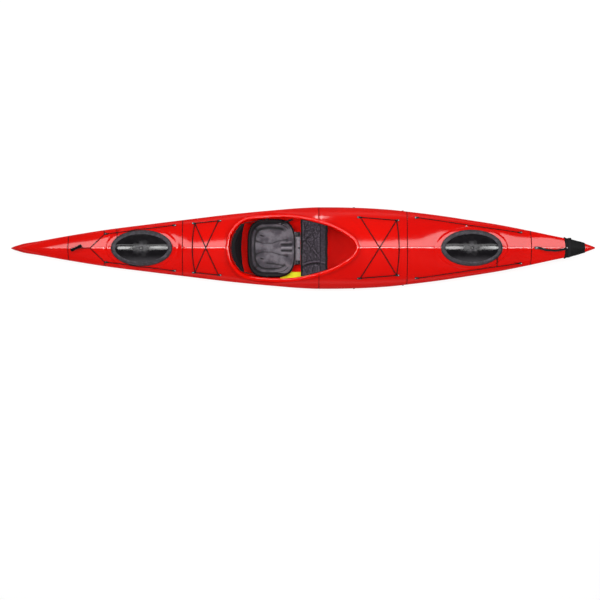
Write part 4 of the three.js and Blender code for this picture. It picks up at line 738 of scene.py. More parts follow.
class Wire:
    """A shader socket that takes part in Python expressions."""

    def __init__(self, finish, socket):
        self.finish = finish
        self.socket = socket

    def math(self, operation, *values):
        inputs = dict(enumerate((self, *values)))
        return self.finish.node("ShaderNodeMath", {"operation": operation}, inputs)

    def __add__(self, other):
        return self.math("ADD", other)

    __radd__ = __add__

    def __sub__(self, other):
        return self.math("SUBTRACT", other)

    def __rsub__(self, other):
        inputs = {0: other, 1: self}
        return self.finish.node("ShaderNodeMath", {"operation": "SUBTRACT"}, inputs)

    def __mul__(self, other):
        return self.math("MULTIPLY", other)

    __rmul__ = __mul__

    def __abs__(self):
        return self.math("ABSOLUTE")

    def sine(self):
        return self.math("SINE")

    def above(self, low, high):
        """0 below low, 1 above high and smooth between; from high to low the other way round."""
        kind = {"interpolation_type": "SMOOTHSTEP", "clamp": True}
        inputs = {0: self, 1: low, 2: high, 3: 0.0, 4: 1.0}
        return self.finish.node("ShaderNodeMapRange", kind, inputs)


class Finish:
    """A procedural material, or the nodes of another owner, such as the world.

    Patterns follow the object's own coordinates, in metres.
    """

    def __init__(self, name, owner=None):
        self.material = owner or bpy.data.materials.new(name)
        self.material.use_nodes = True
        self.tree = self.material.node_tree
        self.tree.nodes.clear()
        self.place = self.node("ShaderNodeTexCoord", output="Object")
        self.x, self.y, self.z = (
            self.node("ShaderNodeSeparateXYZ", inputs={0: self.place}, output=axis)
            for axis in "XYZ"
        )

    def node(self, kind, settings=None, inputs=None, output=0):
        node = self.tree.nodes.new(kind)
        for name, value in (settings or {}).items():
            if name == "stops":
                stops = node.color_ramp.elements
                for stop, (at, colour) in zip((stops[0], stops[1]), value):
                    stop.position, stop.color = at, colour
                for at, colour in value[2:]:
                    stops.new(at).color = colour
            else:
                setattr(node, name, value)
        for name, value in (inputs or {}).items():
            if isinstance(value, Wire):
                self.tree.links.new(value.socket, node.inputs[name])
            else:
                node.inputs[name].default_value = value
        return None if output is None else Wire(self, node.outputs[output])

    def noise(self, scale, detail=4.0, roughness=0.55, stretch=None):
        place = self.place
        if stretch:
            stretched = {0: self.place, 1: stretch}
            place = self.node("ShaderNodeVectorMath", {"operation": "MULTIPLY"}, stretched)
        inputs = {"Vector": place, "Scale": scale, "Detail": detail, "Roughness": roughness}
        return self.node("ShaderNodeTexNoise", inputs=inputs)

    def cells(self, scale):
        return self.node("ShaderNodeTexVoronoi", inputs={"Vector": self.place, "Scale": scale})

    def mix(self, factor, first, second):
        """Between two colours."""
        def colour(value):
            return value if isinstance(value, Wire) else (*value[:3], 1.0)

        inputs = {0: factor, 6: colour(first), 7: colour(second)}
        return self.node("ShaderNodeMix", {"data_type": "RGBA"}, inputs, 2)

    def standing(self):
        """1 on what stands out, -1 in the hollows and 0 elsewhere, from the piece's own relief."""
        return self.node("ShaderNodeAttribute", {"attribute_name": "relief"}, output=2)

    def facing_up(self):
        """1 where the surface lies level, 0 where it stands upright."""
        normal = self.node("ShaderNodeNewGeometry", output="Normal")
        return self.node("ShaderNodeSeparateXYZ", inputs={0: normal}, output="Z")

    def relief(self, height, distance, strength):
        inputs = {"Height": height, "Distance": distance, "Strength": strength}
        return self.node("ShaderNodeBump", inputs=inputs)

    def weave(self, pitch, along="x", across="y"):
        """A plain weave's height, from threads along two axes."""
        turn = 2 * math.pi / pitch
        one = (getattr(self, along) * turn).sine()
        two = (getattr(self, across) * turn).sine()
        return one * two

    def surface(self, **sockets):
        inputs = {}
        for name, value in sockets.items():
            name = name.replace("_", " ").title().replace("Ior", "IOR")
            if name in ("Base Color", "Emission Color") and not isinstance(value, Wire):
                value = (*value, 1.0)
            inputs[name] = value
        shader = self.node("ShaderNodeBsdfPrincipled", inputs=inputs)
        self.node("ShaderNodeOutputMaterial", inputs={"Surface": shader}, output=None)
        return self.material


# Finishes
def moulded_red(tints, name="moulded_red", gloss=1.0):
    """Glossy thermoformed plastic: clear over the colour, faintly uneven, scuffed at the keel."""
    finish = Finish(name)
    cloud = finish.noise(2.2, 3.0)
    fine = finish.noise(900.0, 2.0)
    scratch = finish.noise(60.0, 5.0, 0.7, (0.25, 6.0, 6.0))
    keel = finish.z.above(0.035, 0.0) * scratch.above(0.52, 0.66)
    base = finish.mix(cloud.above(0.35, 0.7), tints.hull, tints.hull_deep)
    base = finish.mix(keel * 0.55, base, linear(232, 96, 82))
    wave = finish.noise(9.0, 2.0) * 0.7 + finish.noise(140.0, 2.0) * 0.05
    return finish.surface(
        base_color=base,
        roughness=0.24 + fine * 0.05 + keel * 0.25,
        coat_weight=(finish.facing_up().above(0.6, 0.88) * 0.9 + 0.1) * gloss,
        coat_roughness=0.12,
        coat_ior=1.7,
        specular_ior_level=0.0,
        normal=finish.relief(wave, 0.0006, 0.5),
    )


def inner_red():
    """The unpolished inside of the hull. Its red is painted lighter than the outside's, as painted
    light that makes up for the shade inside.
    """
    finish = Finish("inner_red")
    cloud = finish.noise(6.0, 4.0)
    fine = finish.noise(500.0, 3.0)
    scuff = finish.noise(30.0, 6.0, 0.75, (0.5, 2.0, 1.0))
    # both reds are painted lighter than the hull's outer red: painted light for the shade inside
    # the hull
    base = finish.mix(cloud.above(0.35, 0.7), linear(255, 12, 0), linear(246, 8, 0))
    return finish.surface(
        base_color=finish.mix(scuff.above(0.6, 0.72) * 0.15, base, linear(250, 90, 66)),
        roughness=0.55 + fine * 0.1,
        specular_ior_level=0.1,
        normal=finish.relief(fine, 0.0003, 0.4),
    )


def black_rubber(tints):
    """Matte moulded rubber with a fine grain."""
    finish = Finish("black_rubber")
    grain = finish.cells(1500.0)
    dust = finish.noise(40.0, 6.0, 0.7)
    return finish.surface(
        base_color=finish.mix(dust.above(0.4, 0.75), tints.rubber, linear(76, 70, 79)),
        roughness=0.55 + dust * 0.2,
        normal=finish.relief(grain, 0.0002, 0.4),
    )


def clean_rubber(tints):
    """Soft dark rubber without dust or shine, for the gaskets and the toggle."""
    finish = Finish("clean_rubber")
    grain = finish.cells(1500.0)
    return finish.surface(
        base_color=finish.mix(grain.above(0.2, 0.7) * 0.5, tints.cord, linear(16, 14, 17)),
        roughness=0.8,
        specular_ior_level=0.1,
        normal=finish.relief(grain, 0.0002, 0.4),
    )


def glossy_rubber():
    """The polished middle of a hatch cover, with a painted sheen on its starboard flank and on its
    wrinkled middle.
    """
    finish = Finish("glossy_rubber")
    cloud = finish.noise(30.0, 4.0)
    smear = finish.noise(9.0, 3.0, 0.6, (0.4, 3.0, 1.0))
    # the flanks fall away from a crest along the middle
    past = abs(finish.y) - CREST_WIDTH - 0.004
    flank = past + (past * past + 0.006**2).math("SQRT")
    wrinkled = finish.standing()
    base = finish.mix(cloud.above(0.4, 0.7), linear(16, 14, 17), linear(26, 24, 27))
    # painted sheen: the starboard flank of the dome is painted lighter grey, standing in for its
    # reflection
    base = finish.mix((finish.y * -1).above(0.05, 0.115) * 0.6, base, linear(84, 82, 86))
    # painted sheen: the wrinkled middle is painted lighter grey, standing in for the highlight that
    # its wrinkles spread
    base = finish.mix(wrinkled.above(0.1, 1.0) * 0.35, base, linear(104, 102, 106))
    return finish.surface(
        base_color=base,
        roughness=0.1 + smear.above(0.45, 0.7) * 0.1 + wrinkled.above(0.0, 0.4) * 0.28,
        normal=finish.relief(flank * -0.13 + finish.noise(12.0, 1.0) * 0.0003, 1.0, 1.0),
    )


def closed_foam(name, light, dark, pore=900.0):
    """Cut foam with small open cells."""
    finish = Finish(name)
    pores = finish.cells(pore)
    cloud = finish.noise(45.0, 5.0)
    shade_in = pores.above(0.25, 0.75)
    return finish.surface(
        base_color=finish.mix(shade_in * 0.6 + cloud * 0.25, light, dark),
        roughness=0.85 + cloud * 0.1,
        normal=finish.relief(pores, 0.0008, 0.6),
    )


def seat_fabric(tints):
    """Stretch fabric over foam: a fine knit in broad random lighter and darker patches, with
    painted shade in its hollows, the rim's included, and a painted highlight on what stands out.
    """
    finish = Finish("seat_fabric")
    knit = finish.weave(0.0016)
    fuzz = finish.noise(260.0, 5.0, 0.7)
    patches = finish.noise(11.0, 3.0)
    base = finish.mix(patches.above(0.38, 0.62), tints.pad, linear(98, 93, 100))
    base = finish.mix(fuzz.above(0.45, 0.7) * 0.35, base, linear(58, 54, 61))
    # painted shade: the pad's hollows are painted near black
    base = finish.mix((finish.standing() * -1).above(0.0, 0.8) * 0.92, base, linear(14, 12, 15))
    # painted highlight: what stands out, such as the rolled rim, is painted lighter grey
    base = finish.mix(finish.standing().above(0.1, 0.9) * 0.6, base, linear(150, 146, 152))
    return finish.surface(
        base_color=base,
        roughness=0.72 + fuzz * 0.12,
        sheen_weight=0.1,
        sheen_roughness=0.45,
        normal=finish.relief(knit * 0.5 + fuzz, 0.0005, 0.45),
    )


def dark_fabric(name, colour, lighter, pitch=0.0014, shine=0.62, along="x", across="y"):
    """Coated woven cloth: threads both ways and bumped creases, with painted shade in the piece's
    hollows and a painted highlight on what stands out.
    """
    finish = Finish(name)
    threads = finish.weave(pitch, along, across)
    cloud = finish.noise(60.0, 5.0, 0.65)
    crease = finish.noise(22.0, 6.0, 0.75)
    base = finish.mix(cloud.above(0.4, 0.75), colour, lighter)
    # painted shade: the piece's hollows, such as the bag's folds, are painted near black
    base = finish.mix((finish.standing() * -1).above(0.05, 0.8) * 0.75, base, (0.002, 0.002, 0.002))
    # painted highlight: what stands out on the piece is painted lighter
    base = finish.mix(finish.standing().above(0.1, 0.9) * 0.45, base, linear(98, 90, 100))
    return finish.surface(
        base_color=finish.mix(threads * 0.1 + 0.1, base, (0.0, 0.0, 0.0)),
        roughness=shine + cloud * 0.2,
        specular_ior_level=0.22,
        normal=finish.relief(threads * 0.3 + crease * 2.0, 0.0006, 0.5),
    )


def webbing(name, colour, along="x"):
    """Polyester webbing: ribs along it and a herringbone across."""
    finish = Finish(name)
    across = "y" if along == "x" else "x"
    ribs = (getattr(finish, across) * (2 * math.pi / 0.0019)).sine()
    twill = ((getattr(finish, along) + getattr(finish, across)) * (2 * math.pi / 0.0026)).sine()
    fuzz = finish.noise(500.0, 3.0)
    return finish.surface(
        base_color=finish.mix(fuzz.above(0.4, 0.7) * 0.4, colour, linear(44, 42, 45)),
        roughness=0.7 + fuzz * 0.15,
        specular_ior_level=0.25,
        normal=finish.relief(ribs * 0.5 + twill * 0.5, 0.0004, 0.6),
    )


def braided_cord(tints):
    """Braided sleeve of a cord: two sets of slanting strands. All the cords share it."""
    if "braided_cord" in bpy.data.materials:
        return bpy.data.materials["braided_cord"]
    finish = Finish("braided_cord")
    pitch = 2 * math.pi / 0.0022
    braid = ((finish.x + finish.y) * pitch).sine() * ((finish.x - finish.y) * pitch).sine()
    fuzz = finish.noise(700.0, 3.0)
    return finish.surface(
        base_color=finish.mix(braid.above(0.0, 0.6) * 0.4, tints.cord, linear(30, 29, 32)),
        roughness=0.62 + fuzz * 0.2,
        specular_ior_level=0.2,
        normal=finish.relief(braid, 0.0004, 0.7),
    )


def black_plastic(name, roughness):
    """Moulded nylon with a fine sparkled texture."""
    finish = Finish(name)
    grain = finish.noise(1400.0, 3.0)
    cloud = finish.noise(50.0, 4.0)
    return finish.surface(
        base_color=finish.mix(cloud.above(0.4, 0.7), linear(24, 23, 26), linear(36, 35, 39)),
        roughness=roughness + grain * 0.15,
        normal=finish.relief(grain, 0.0002, 0.5),
    )


def brushed_steel(name, colour=(0.62, 0.63, 0.65), roughness=0.26, metal=1.0):
    """Stainless steel, brushed one way."""
    finish = Finish(name)
    brush = finish.noise(320.0, 4.0, 0.7, (0.08, 1.0, 1.0))
    smear = finish.noise(35.0, 4.0)
    return finish.surface(
        base_color=finish.mix(smear.above(0.4, 0.75) * 0.5, colour, (0.42, 0.42, 0.44)),
        metallic=metal,
        roughness=roughness + brush * 0.16,
        normal=finish.relief(brush, 0.0001, 0.4),
    )


def grey_plastic(tints):
    """Moulded grey plastic of the seat pan, lightly scuffed."""
    finish = Finish("grey_plastic")
    grain = finish.noise(900.0, 3.0)
    scuff = finish.noise(45.0, 6.0, 0.75, (0.4, 1.5, 1.0))
    return finish.surface(
        base_color=finish.mix(scuff.above(0.48, 0.62), tints.pan, linear(158, 154, 162)),
        roughness=0.5 + grain * 0.1,
        normal=finish.relief(grain + scuff, 0.0003, 0.5),
    )


# Hull
def section_mould(aft, fore):
    """A thin shell between two seams. Where there is no seam, it ends in a closed tip."""
    def ends(seam, carries):
        near = seam.x - seam.outward * SEAM_GAP / 2
        far = seam.x + seam.outward * SEAM_GAP / 2
        if not carries:
            return [
                ring_at(far + seam.outward * SEAM_EASE * 2), ring_at(far, SEAM_EASE),
                ring_at(far, WALL),
            ]
        thin = WALL + SPIGOT_CLEARANCE
        tip = seam.x + seam.outward * SPIGOT_LENGTH
        root = seam.x - seam.outward * SPIGOT_ROOT
        return [
            ring_at(near - seam.outward * SEAM_EASE * 2), ring_at(near, SEAM_EASE),
            ring_at(near, thin), ring_at(tip, thin), ring_at(tip, thin + SPIGOT_WALL),
            ring_at(root, thin + SPIGOT_WALL), ring_at(root, WALL),
        ]

    margin = STATION_STEP / 3
    first = aft.x + margin if aft else place_of(0)
    last = fore.x - margin if fore else place_of(1)
    count = round((last - first) / STATION_STEP)
    places = list(np.linspace(first, last, count))
    if not aft:
        fine = [0, 0.0006, 0.0015, 0.0028, 0.004, 0.006, 0.0085, 0.012, 0.016, 0.0195]
        places = [place_of(s) for s in fine] + [x for x in places if x > place_of(0.021)]
    if not fore:
        fine = [0.984, 0.988, 0.9915, 0.994, 0.9965, 0.998, 0.999, 1]
        places = [x for x in places if x < place_of(0.982)] + [place_of(s) for s in fine]
    outer = [ring_at(x) for x in places]
    low = max(place_of(CAVITY_START_SHARE), aft.x + SPIGOT_ROOT + margin if aft else -LENGTH)
    high = min(place_of(CAVITY_END_SHARE), fore.x - SPIGOT_ROOT - margin if fore else LENGTH)
    inner = [ring_at(x, WALL) for x in np.linspace(high, low, round((high - low) / STATION_STEP))]
    fore_end = ends(fore, fore.outward > 0) if fore else []
    aft_end = ends(aft, aft.outward < 0)[::-1] if aft else []
    if not fore:
        return Mould().rings(inner + aft_end + outer)
    return Mould().rings(outer + fore_end + inner + aft_end, joined=bool(aft))


def box_mould(low, high):
    (x0, y0, z0), (x1, y1, z1) = low, high
    ring = [(y0, z0), (y0, z1), (y1, z1), (y1, z0)]
    return Mould().rings([[(x, y, z) for y, z in ring] for x in (x0, x1)])


def coaming_outline(offset):
    """The cockpit's outline seen from above, moved outwards."""
    angle = 2 * math.pi * np.arange(COAMING_CORNERS) / COAMING_CORNERS
    share = (1 - np.cos(angle)) / 2
    side = np.where(np.arange(COAMING_CORNERS) < COAMING_CORNERS / 2, -1, 1)
    across = side * COAMING_HALF_WIDTH * outline_at(share)
    across[[0, COAMING_CORNERS // 2]] = 0
    corners = np.stack([COAMING_REAR + COAMING_LENGTH * share, across], axis=1)
    curve = smoothed(corners, OUTLINE_FINENESS, joined=True)
    tangent = np.roll(curve, -1, axis=0) - np.roll(curve, 1, axis=0)
    for _ in range(3):
        tangent = (np.roll(tangent, 1, axis=0) + 2 * tangent + np.roll(tangent, -1, axis=0)) / 4
    tangent = unit(tangent)
    return curve + offset * np.stack([tangent[:, 1], -tangent[:, 0]], axis=1)


def opening_mould(offset):
    heights = (OPENING_FLOOR, COAMING_TOP + 0.05)
    return Mould().rings([[(x, y, z) for x, y in coaming_outline(offset)] for z in heights])


def coaming_mould():
    """A riser that stands round the cockpit, with a rounded lip rolled outwards."""
    lip = COAMING_LIP
    profile = [
        # offset from the opening's edge, height above or below the lip's line there
        (0.0, -0.012), (0.0, -0.0052), (0.0007, -0.003), (0.0024, -0.0012), (0.0055, 0.0002),
        (0.0095, 0.0008), (0.0135, 0.0005), (0.018, -0.0006), (lip - 0.0055, -0.0022),
        (lip - 0.0018, -0.0046), (lip, -0.0068), (lip - 0.0008, -0.0086), (lip - 0.003, -0.0098),
        (0.019, -0.0088), (0.012, -0.0082), (0.0088, -0.0088), (0.0068, -0.011), (0.006, -0.015),
    ]
    rows = []
    inner = coaming_outline(0)
    for offset, rise in profile:
        edge = coaming_outline(offset)
        line = lip_height(edge[:, 0])
        rows.append(np.column_stack([edge, line + rise]))
    foot = [(0.0065, 0.010), (0.0085, 0.005), (0.0125, 0.0012), (0.018, -0.0015), (0.018, -0.009)]
    riser = rows[-1][:, 2]
    for offset, rise in foot:
        edge = coaming_outline(offset)
        ground = deck_height(edge[:, 0], edge[:, 1]) + rise
        rows.append(np.column_stack([edge, np.minimum(ground, riser)]))
    low = deck_height(inner[:, 0], inner[:, 1]) - WALL - 0.004
    rows.append(np.column_stack([inner, np.minimum(low, rows[0][:, 2] - 0.004)]))
    return Mould().rings(np.array(rows).transpose(1, 0, 2), joined=True)


oval_turn = 2 * math.pi * np.arange(OVAL_POINTS) / OVAL_POINTS


def oval_ring(hatch, inset, share=1.0, height=0.0):
    """A ring round a hatch, on the lid's sloping and cambered top."""
    run = (HATCH_HALF_LENGTH - inset) * share * np.cos(oval_turn)
    across = (HATCH_HALF_WIDTH - inset) * share * np.sin(oval_turn)
    drop = hatch.camber * (across / HATCH_HALF_WIDTH) ** 2
    return np.column_stack([hatch.x + run, across, hatch.top + hatch.slope * run - drop + height])


def plateau_mould(hatch):
    """The raised oval moulded in the deck round a hatch."""
    inner = (HATCH_HALF_LENGTH - 0.022, HATCH_HALF_WIDTH - 0.022)
    outer = (HATCH_HALF_LENGTH + PLATEAU_LENGTH, HATCH_HALF_WIDTH + PLATEAU_WIDTH)
    shares = [0, 0.3, 0.55, 0.72, 0.78, 0.83, 0.87, 0.9, 0.925, 0.945, 0.96, 0.975, 0.99, 1.003]
    rows = []
    for sunk in (False, True):
        for share in shares if not sunk else (1.003, 0.7, 0.3, 0):
            x = hatch.x + np.cos(oval_turn) * (inner[0] + (outer[0] - inner[0]) * share)
            y = np.sin(oval_turn) * (inner[1] + (outer[1] - inner[1]) * share)
            z = deck_height(x, y) - 0.0032 if sunk else deck_top(x, y) - (share > 1) * 0.0008
            rows.append(np.column_stack([x, y, z]))
    return Mould().rings(np.array(rows).transpose(1, 0, 2), joined=True)


def keeper_mould(seam, side):
    """The ramp that a latch's lever hooks over, on the inside of the outer section."""
    def corners(x):
        upper = np.array([True, True])
        across, height = section_points(x, 0.0, np.array(LATCH_ANGLES), ~upper)
        return [np.array((x, side * a, h)) for a, h in zip(across, height)]

    x = seam.x
    for _ in range(FORM_PASSES):
        middle = sum(corners(x)) / 2
        x = seam.x + seam.lean * (middle[2] - float(form_at(seam.x).sheer))
    low, high = corners(x)
    middle = (low + high) / 2
    upwards = unit(high - low)
    reach = seam.outward * LATCH_REACH
    along = sum(corners(x + reach)) / 2 - sum(corners(x - reach)) / 2
    along = unit(along - upwards * along.dot(upwards))
    inward = np.cross(along, upwards)
    if inward[1] * side > 0:
        inward = -inward
    end = KEEPER_START + KEEPER_CREST
    outline = [
        (KEEPER_START, WALL - KEEPER_SINK), (KEEPER_START, KEEPER_HEIGHT), (end, KEEPER_HEIGHT),
        (end + (KEEPER_HEIGHT - WALL + KEEPER_SINK) / HOOK_SLOPE, WALL - KEEPER_SINK),
    ]
    half = LATCH_WIDTH / 2 + KEEPER_MARGIN
    return Mould().rings([
        [middle + along * run + inward * rise + upwards * width for run, rise in outline]
        for width in (-half, half)
    ])


def within(places):
    """Whether each place lies inside the hull's skin."""
    x, y, z = places.T
    form = form_at(x)
    margin = WALL * 0.6
    out = np.clip((np.abs(y) - form.flat) / (form.beam - form.flat), 0, 1) ** (1 / BILGE_POWER)
    floor = form.sheer - (form.sheer - form.keel) * np.sqrt(1 - out * out) ** BILGE_POWER
    inside = (z > floor + margin) & (z < deck_height(x, y) - margin)
    return inside & (np.abs(y) < form.beam - margin * 0.5)


def on_lip(places):
    """Which places lie on the coaming's lip."""
    x, y, z = places.T
    near = (x > COAMING_REAR - 0.04) & (x < COAMING_REAR + COAMING_LENGTH + 0.04)
    near &= np.abs(y) < 0.26
    return near & (z > lip_height(x) - 0.0112)


def on_pin(places):
    """Which places lie on the pins that the back band's straps pivot on."""
    x, y, z = places.T
    off = np.hypot(x - ANCHOR_X, z - ANCHOR_Z)
    return (off < ANCHOR_RADIUS * 1.1) & (np.abs(y) < opening_half(ANCHOR_X) - 0.0005)


def add_coaming(hull, section, red):
    """Cuts the cockpit's opening and joins the section's share of the coaming to it."""
    far, tall = LENGTH, COAMING_TOP + 0.1
    seam = SEAMS[2]
    near, past = seam.x - SEAM_GAP / 2, seam.x + SEAM_GAP / 2
    low, high = past, far
    carve(hull, opening_mould(COAMING_RISER / 2).build("opening"), "DIFFERENCE")
    if section == "aft_cockpit":
        low, high = -far, near
        relief = opening_mould(0.019).build("relief")
        carve(relief, box_mould((near, -far, -far), (far, far, far)).build("slab"), "INTERSECT")
        carve(hull, relief, "DIFFERENCE")
    coaming = coaming_mould().build("coaming", red)
    carve(coaming, box_mould((low, -1, -1), (high, 1, tall)).build("slab"), "INTERSECT")
    carve(hull, coaming, "UNION")


def add_pins(hull):
    """Joins the pins that the back band's straps pivot on."""
    for _, side in SIDES:
        base = (ANCHOR_X, side * (opening_half(ANCHOR_X) + COAMING_RISER / 2), ANCHOR_Z)
        reach, size = ANCHOR_LENGTH + COAMING_RISER / 2, ANCHOR_RADIUS
        profile = [(size, 0), (size, reach - 0.002), (size - 0.001, reach), (0.0006, reach)]
        carve(hull, Mould().lathe(base, (0, -side, 0), profile).build("pin"), "UNION")


def make_hull(sizes, tints):
    red = moulded_red(tints)
    finishes = [
        red, inner_red(), moulded_red(tints, "lip_red", 0.42), black_plastic("pin_plastic", 0.5),
    ]
    for i, section in enumerate(SECTIONS):
        aft, fore = SEAMS[i - 1] if i else None, SEAMS[i] if i < len(SEAMS) else None
        hull = section_mould(aft, fore).build(f"{section}_hull", red)
        cockpit = section in ("aft_cockpit", "forward_cockpit")
        if cockpit:
            add_coaming(hull, section, red)
        for hatch in HATCHES:
            if section == f"{hatch.name}_hatch":
                carve(hull, plateau_mould(hatch).build("plateau"), "UNION")
                inset = SKIRT_WALL + RIM_CLEARANCE + RIM_WALL
                hole = Mould().rings([oval_ring(hatch, inset, 1, z) for z in (-0.07, 0.02)])
                carve(hull, hole.build("hole"), "DIFFERENCE")
        for j, seam in enumerate(SEAMS):
            if i == (j if seam.outward < 0 else j + 1):
                for _, side in SIDES:
                    carve(hull, keeper_mould(seam, side).build("keeper"), "UNION")
        if section == "aft_cockpit":
            add_pins(hull)
        hull.data.materials.clear()
        for finish in finishes:
            hull.data.materials.append(finish)
        centres = read(hull.data.polygons, "center", 3)
        kind = within(centres).astype(int)
        if cockpit:
            kind[on_lip(centres)] = 2
            kind[on_pin(centres)] = 3
        hull.data.polygons.foreach_set("material_index", kind)
        fair(hull)
        seat_on(hull, section, "hull", f"{section}_section")


def make_gaskets(sizes, tints):
    rubber = clean_rubber(tints)
    for seam in SEAMS:
        low, high = seam.x - GASKET_THICKNESS / 2, seam.x + GASKET_THICKNESS / 2
        bead = Mould().rings([
            ring_at(low, GASKET_RECESS), ring_at(low - BEAD_FOOT, BEAD_RISE),
            ring_at(low - BEAD_CROWN, -BEAD_RISE), ring_at(high + BEAD_CROWN, -BEAD_RISE),
            ring_at(high + BEAD_FOOT, BEAD_RISE), ring_at(high, GASKET_RECESS),
            ring_at(high, WALL - GASKET_RECESS), ring_at(low, WALL - GASKET_RECESS),
        ], joined=True)
        gasket = bead.build(f"{seam.name}_seal", rubber)
        if seam.name == "cockpit":
            carve(gasket, opening_mould(COAMING_RISER / 2).build("opening"), "DIFFERENCE")
            coaming = coaming_mould().build("coaming", rubber)
            slab = box_mould((low, -1, -1), (high, 1, 1)).build("slab")
            carve(coaming, slab, "INTERSECT")
            carve(gasket, coaming, "UNION")
        shade(gasket)
        body = SECTIONS[SEAMS.index(seam) + (seam.outward < 0)]
        seat_on(gasket, body, "gasket", f"{seam.name}_gasket")


# Hatches
def cover_mould(hatch, sizes):
    """A lid: skirt, matte band, groove, and a dome with a wrinkled button in its middle."""
    mould = Mould()
    band = BAND_WIDTH
    edge = [
        # inset from the lid's edge, height over its top there
        (SKIRT_WALL, -COVER_WALL), (SKIRT_WALL, -SKIRT_DEPTH + 0.001),
        (SKIRT_WALL - 0.001, -SKIRT_DEPTH), (0.001, -SKIRT_DEPTH), (0, -SKIRT_DEPTH + 0.0015),
        (0, -0.0085), (0.0012, -0.0078), (0.0012, -0.005), (0.0024, -0.0022), (0.0052, -0.0004),
        (0.0095, 0.0004), (0.016, 0.0002), (band - 0.006, -0.0006), (band - 0.0035, -0.0018),
        (band - 0.0022, -0.0034), (band - 0.0008, -0.0036), (band, -0.0022),
    ]
    matte = [oval_ring(hatch, inset, 1, height) for inset, height in edge]
    rise = share_curve([(0, 1), (0.1, 0.97), (0.3, 0.74), (0.6, 0.36), (0.9, -0.02), (1, -0.31)])
    shares = np.concatenate([np.linspace(1, 0.3, 34), np.linspace(0.29, 0.02, 30)])
    dome, wrinkle_sheen = [], []
    for share in shares:
        ring = oval_ring(hatch, band, share, DOME_RISE * float(rise(share)))
        run, across = ring[:, 0] - hatch.x, ring[:, 1]
        edge_run = np.minimum(np.abs(run) / (HATCH_HALF_LENGTH - band), 1)
        reach = np.maximum((HATCH_HALF_WIDTH - band) * np.sqrt(1 - edge_run**2), 0.001)
        straight = np.hypot(np.maximum(np.abs(across) - CREST_WIDTH, 0), 0.014) - 0.014
        whole = np.hypot(np.maximum(reach - CREST_WIDTH, 0.001), 0.014) - 0.014
        straight /= np.maximum(whole, 1e-4)
        drop = hatch.camber * (reach / HATCH_HALF_WIDTH) ** 2 * np.minimum(straight, 1)
        ring[:, 2] += hatch.camber * (across / HATCH_HALF_WIDTH) ** 2 - drop
        away = np.hypot(run, across * 1.15)
        pucker = swell(away, 0.055) * smoothstep(away, 0.004, 0.02)
        swirl = np.sin(7 * oval_turn + away * 70) * 0.6
        swirl = swirl + np.sin(12 * oval_turn - away * 130 + 1) * 0.4
        lump = rolling_noise(np.column_stack([run, across, 0 * run]), 34.0, len(hatch.name))
        wave = rolling_noise(np.column_stack([run * 0.5, across, 0 * run]), 16.0, 3.0)
        calm = smoothstep(1 - share, 0.02, 0.12)
        button = sizes.button_height * (1 - smoothstep(away, 0.010, 0.016))
        dimple = 0.0016 * swell(away, 0.0045)
        ring[:, 2] += pucker * (0.0005 * swirl + 0.0004 * lump) + calm * 0.00025 * wave
        ring[:, 2] += button - dimple
        dome.append(ring)
        # the wrinkled middle, which the glossy rubber makes rougher and paints lighter as a painted
        # sheen
        wrinkle_sheen.append(np.clip(pucker * (0.8 + 0.4 * swirl + 0.3 * lump), 0, 1))
    under = [
        oval_ring(hatch, band, share, DOME_RISE * float(rise(share)) - COVER_WALL)
        for share in (0.02, 0.3, 0.6, 0.85, 0.98)
    ]
    rows = np.array(matte + dome + under)
    still = [np.zeros(OVAL_POINTS)]
    relief = np.array(still * len(matte) + wrinkle_sheen + still * len(under))
    index = mould.add(rows, relief).reshape(rows.shape[:2])
    top = len(matte) - 1
    mould.sheet(index[:top + 1], wrap_columns=True, finish=0)
    mould.sheet(index[top:top + len(dome) + 1], wrap_columns=True, finish=1)
    start = top + len(dome)
    mould.sheet(np.vstack([index[start + 1:], index[:1]]), wrap_columns=True, finish=0)
    mould.hub(index[start], 1)
    mould.hub(index[start + 1], 0)
    return mould


def rim_mould(hatch):
    """The collar that the lid presses over, with a thin foot on the deck round it."""
    top = -(COVER_WALL + RIM_CLEARANCE + 0.0015)
    outer, inner = SKIRT_WALL + RIM_CLEARANCE, SKIRT_WALL + RIM_CLEARANCE + RIM_WALL
    rows = []
    for inset, height in ((inner, top - 0.0015), (inner - 0.0015, top), (outer + 0.0015, top),
                          (outer, top - 0.0015)):
        rows.append(oval_ring(hatch, inset, 1, height))
    for inset, lift in ((outer, 0.0042), (0.0, 0.0036), (-0.0042, 0.003), (-0.0052, 0.0016),
                        (-0.005, -0.0005), (outer, -0.0005), (outer + 0.002, -0.012),
                        (inner, -0.012)):
        ring = oval_ring(hatch, inset)
        lifted = deck_top(ring[:, 0], ring[:, 1]) + lift
        limit = oval_ring(hatch, max(inset, 0), 1, -SKIRT_DEPTH - 0.0006)[:, 2]
        ring[:, 2] = np.minimum(lifted, limit) if inset < outer else lifted
        rows.append(ring)
    return Mould().rings(np.array(rows).transpose(1, 0, 2), joined=True)


def make_hatches(sizes, tints):
    rubber, gloss = black_rubber(tints), glossy_rubber()
    collar = black_plastic("collar_plastic", 0.5)
    for hatch in HATCHES:
        name = hatch.name
        cover_mould(hatch, sizes).cast(
            f"{name}_lid", [rubber, gloss], f"{name}_cover", "lid", f"{name}_hatch_cover",
            degrees=50,
        )
        rim_mould(hatch).cast(
            f"{name}_collar", [collar], f"{name}_hatch", "rim", f"{name}_hatch_rim",
        )


# Bulkheads, foot braces and latches
def make_bulkheads(sizes, tints):
    foam = closed_foam("bulkhead_foam", linear(78, 78, 84), linear(46, 46, 52))
    for seam in (SEAMS[1], SEAMS[3]):
        near = seam.x + seam.outward * BULKHEAD_SETBACK
        far = near + seam.outward * BULKHEAD_THICKNESS
        inset = WALL + FIT_GAP
        board = Mould().rings([
            ring_at(near, inset + 0.0015), ring_at(near + seam.outward * 0.0015, inset),
            ring_at(far - seam.outward * 0.0015, inset), ring_at(far, inset + 0.0015),
        ])
        board.cast(f"{seam.name}_board", [foam], seam.name, "foam", f"{seam.name}_bulkhead")


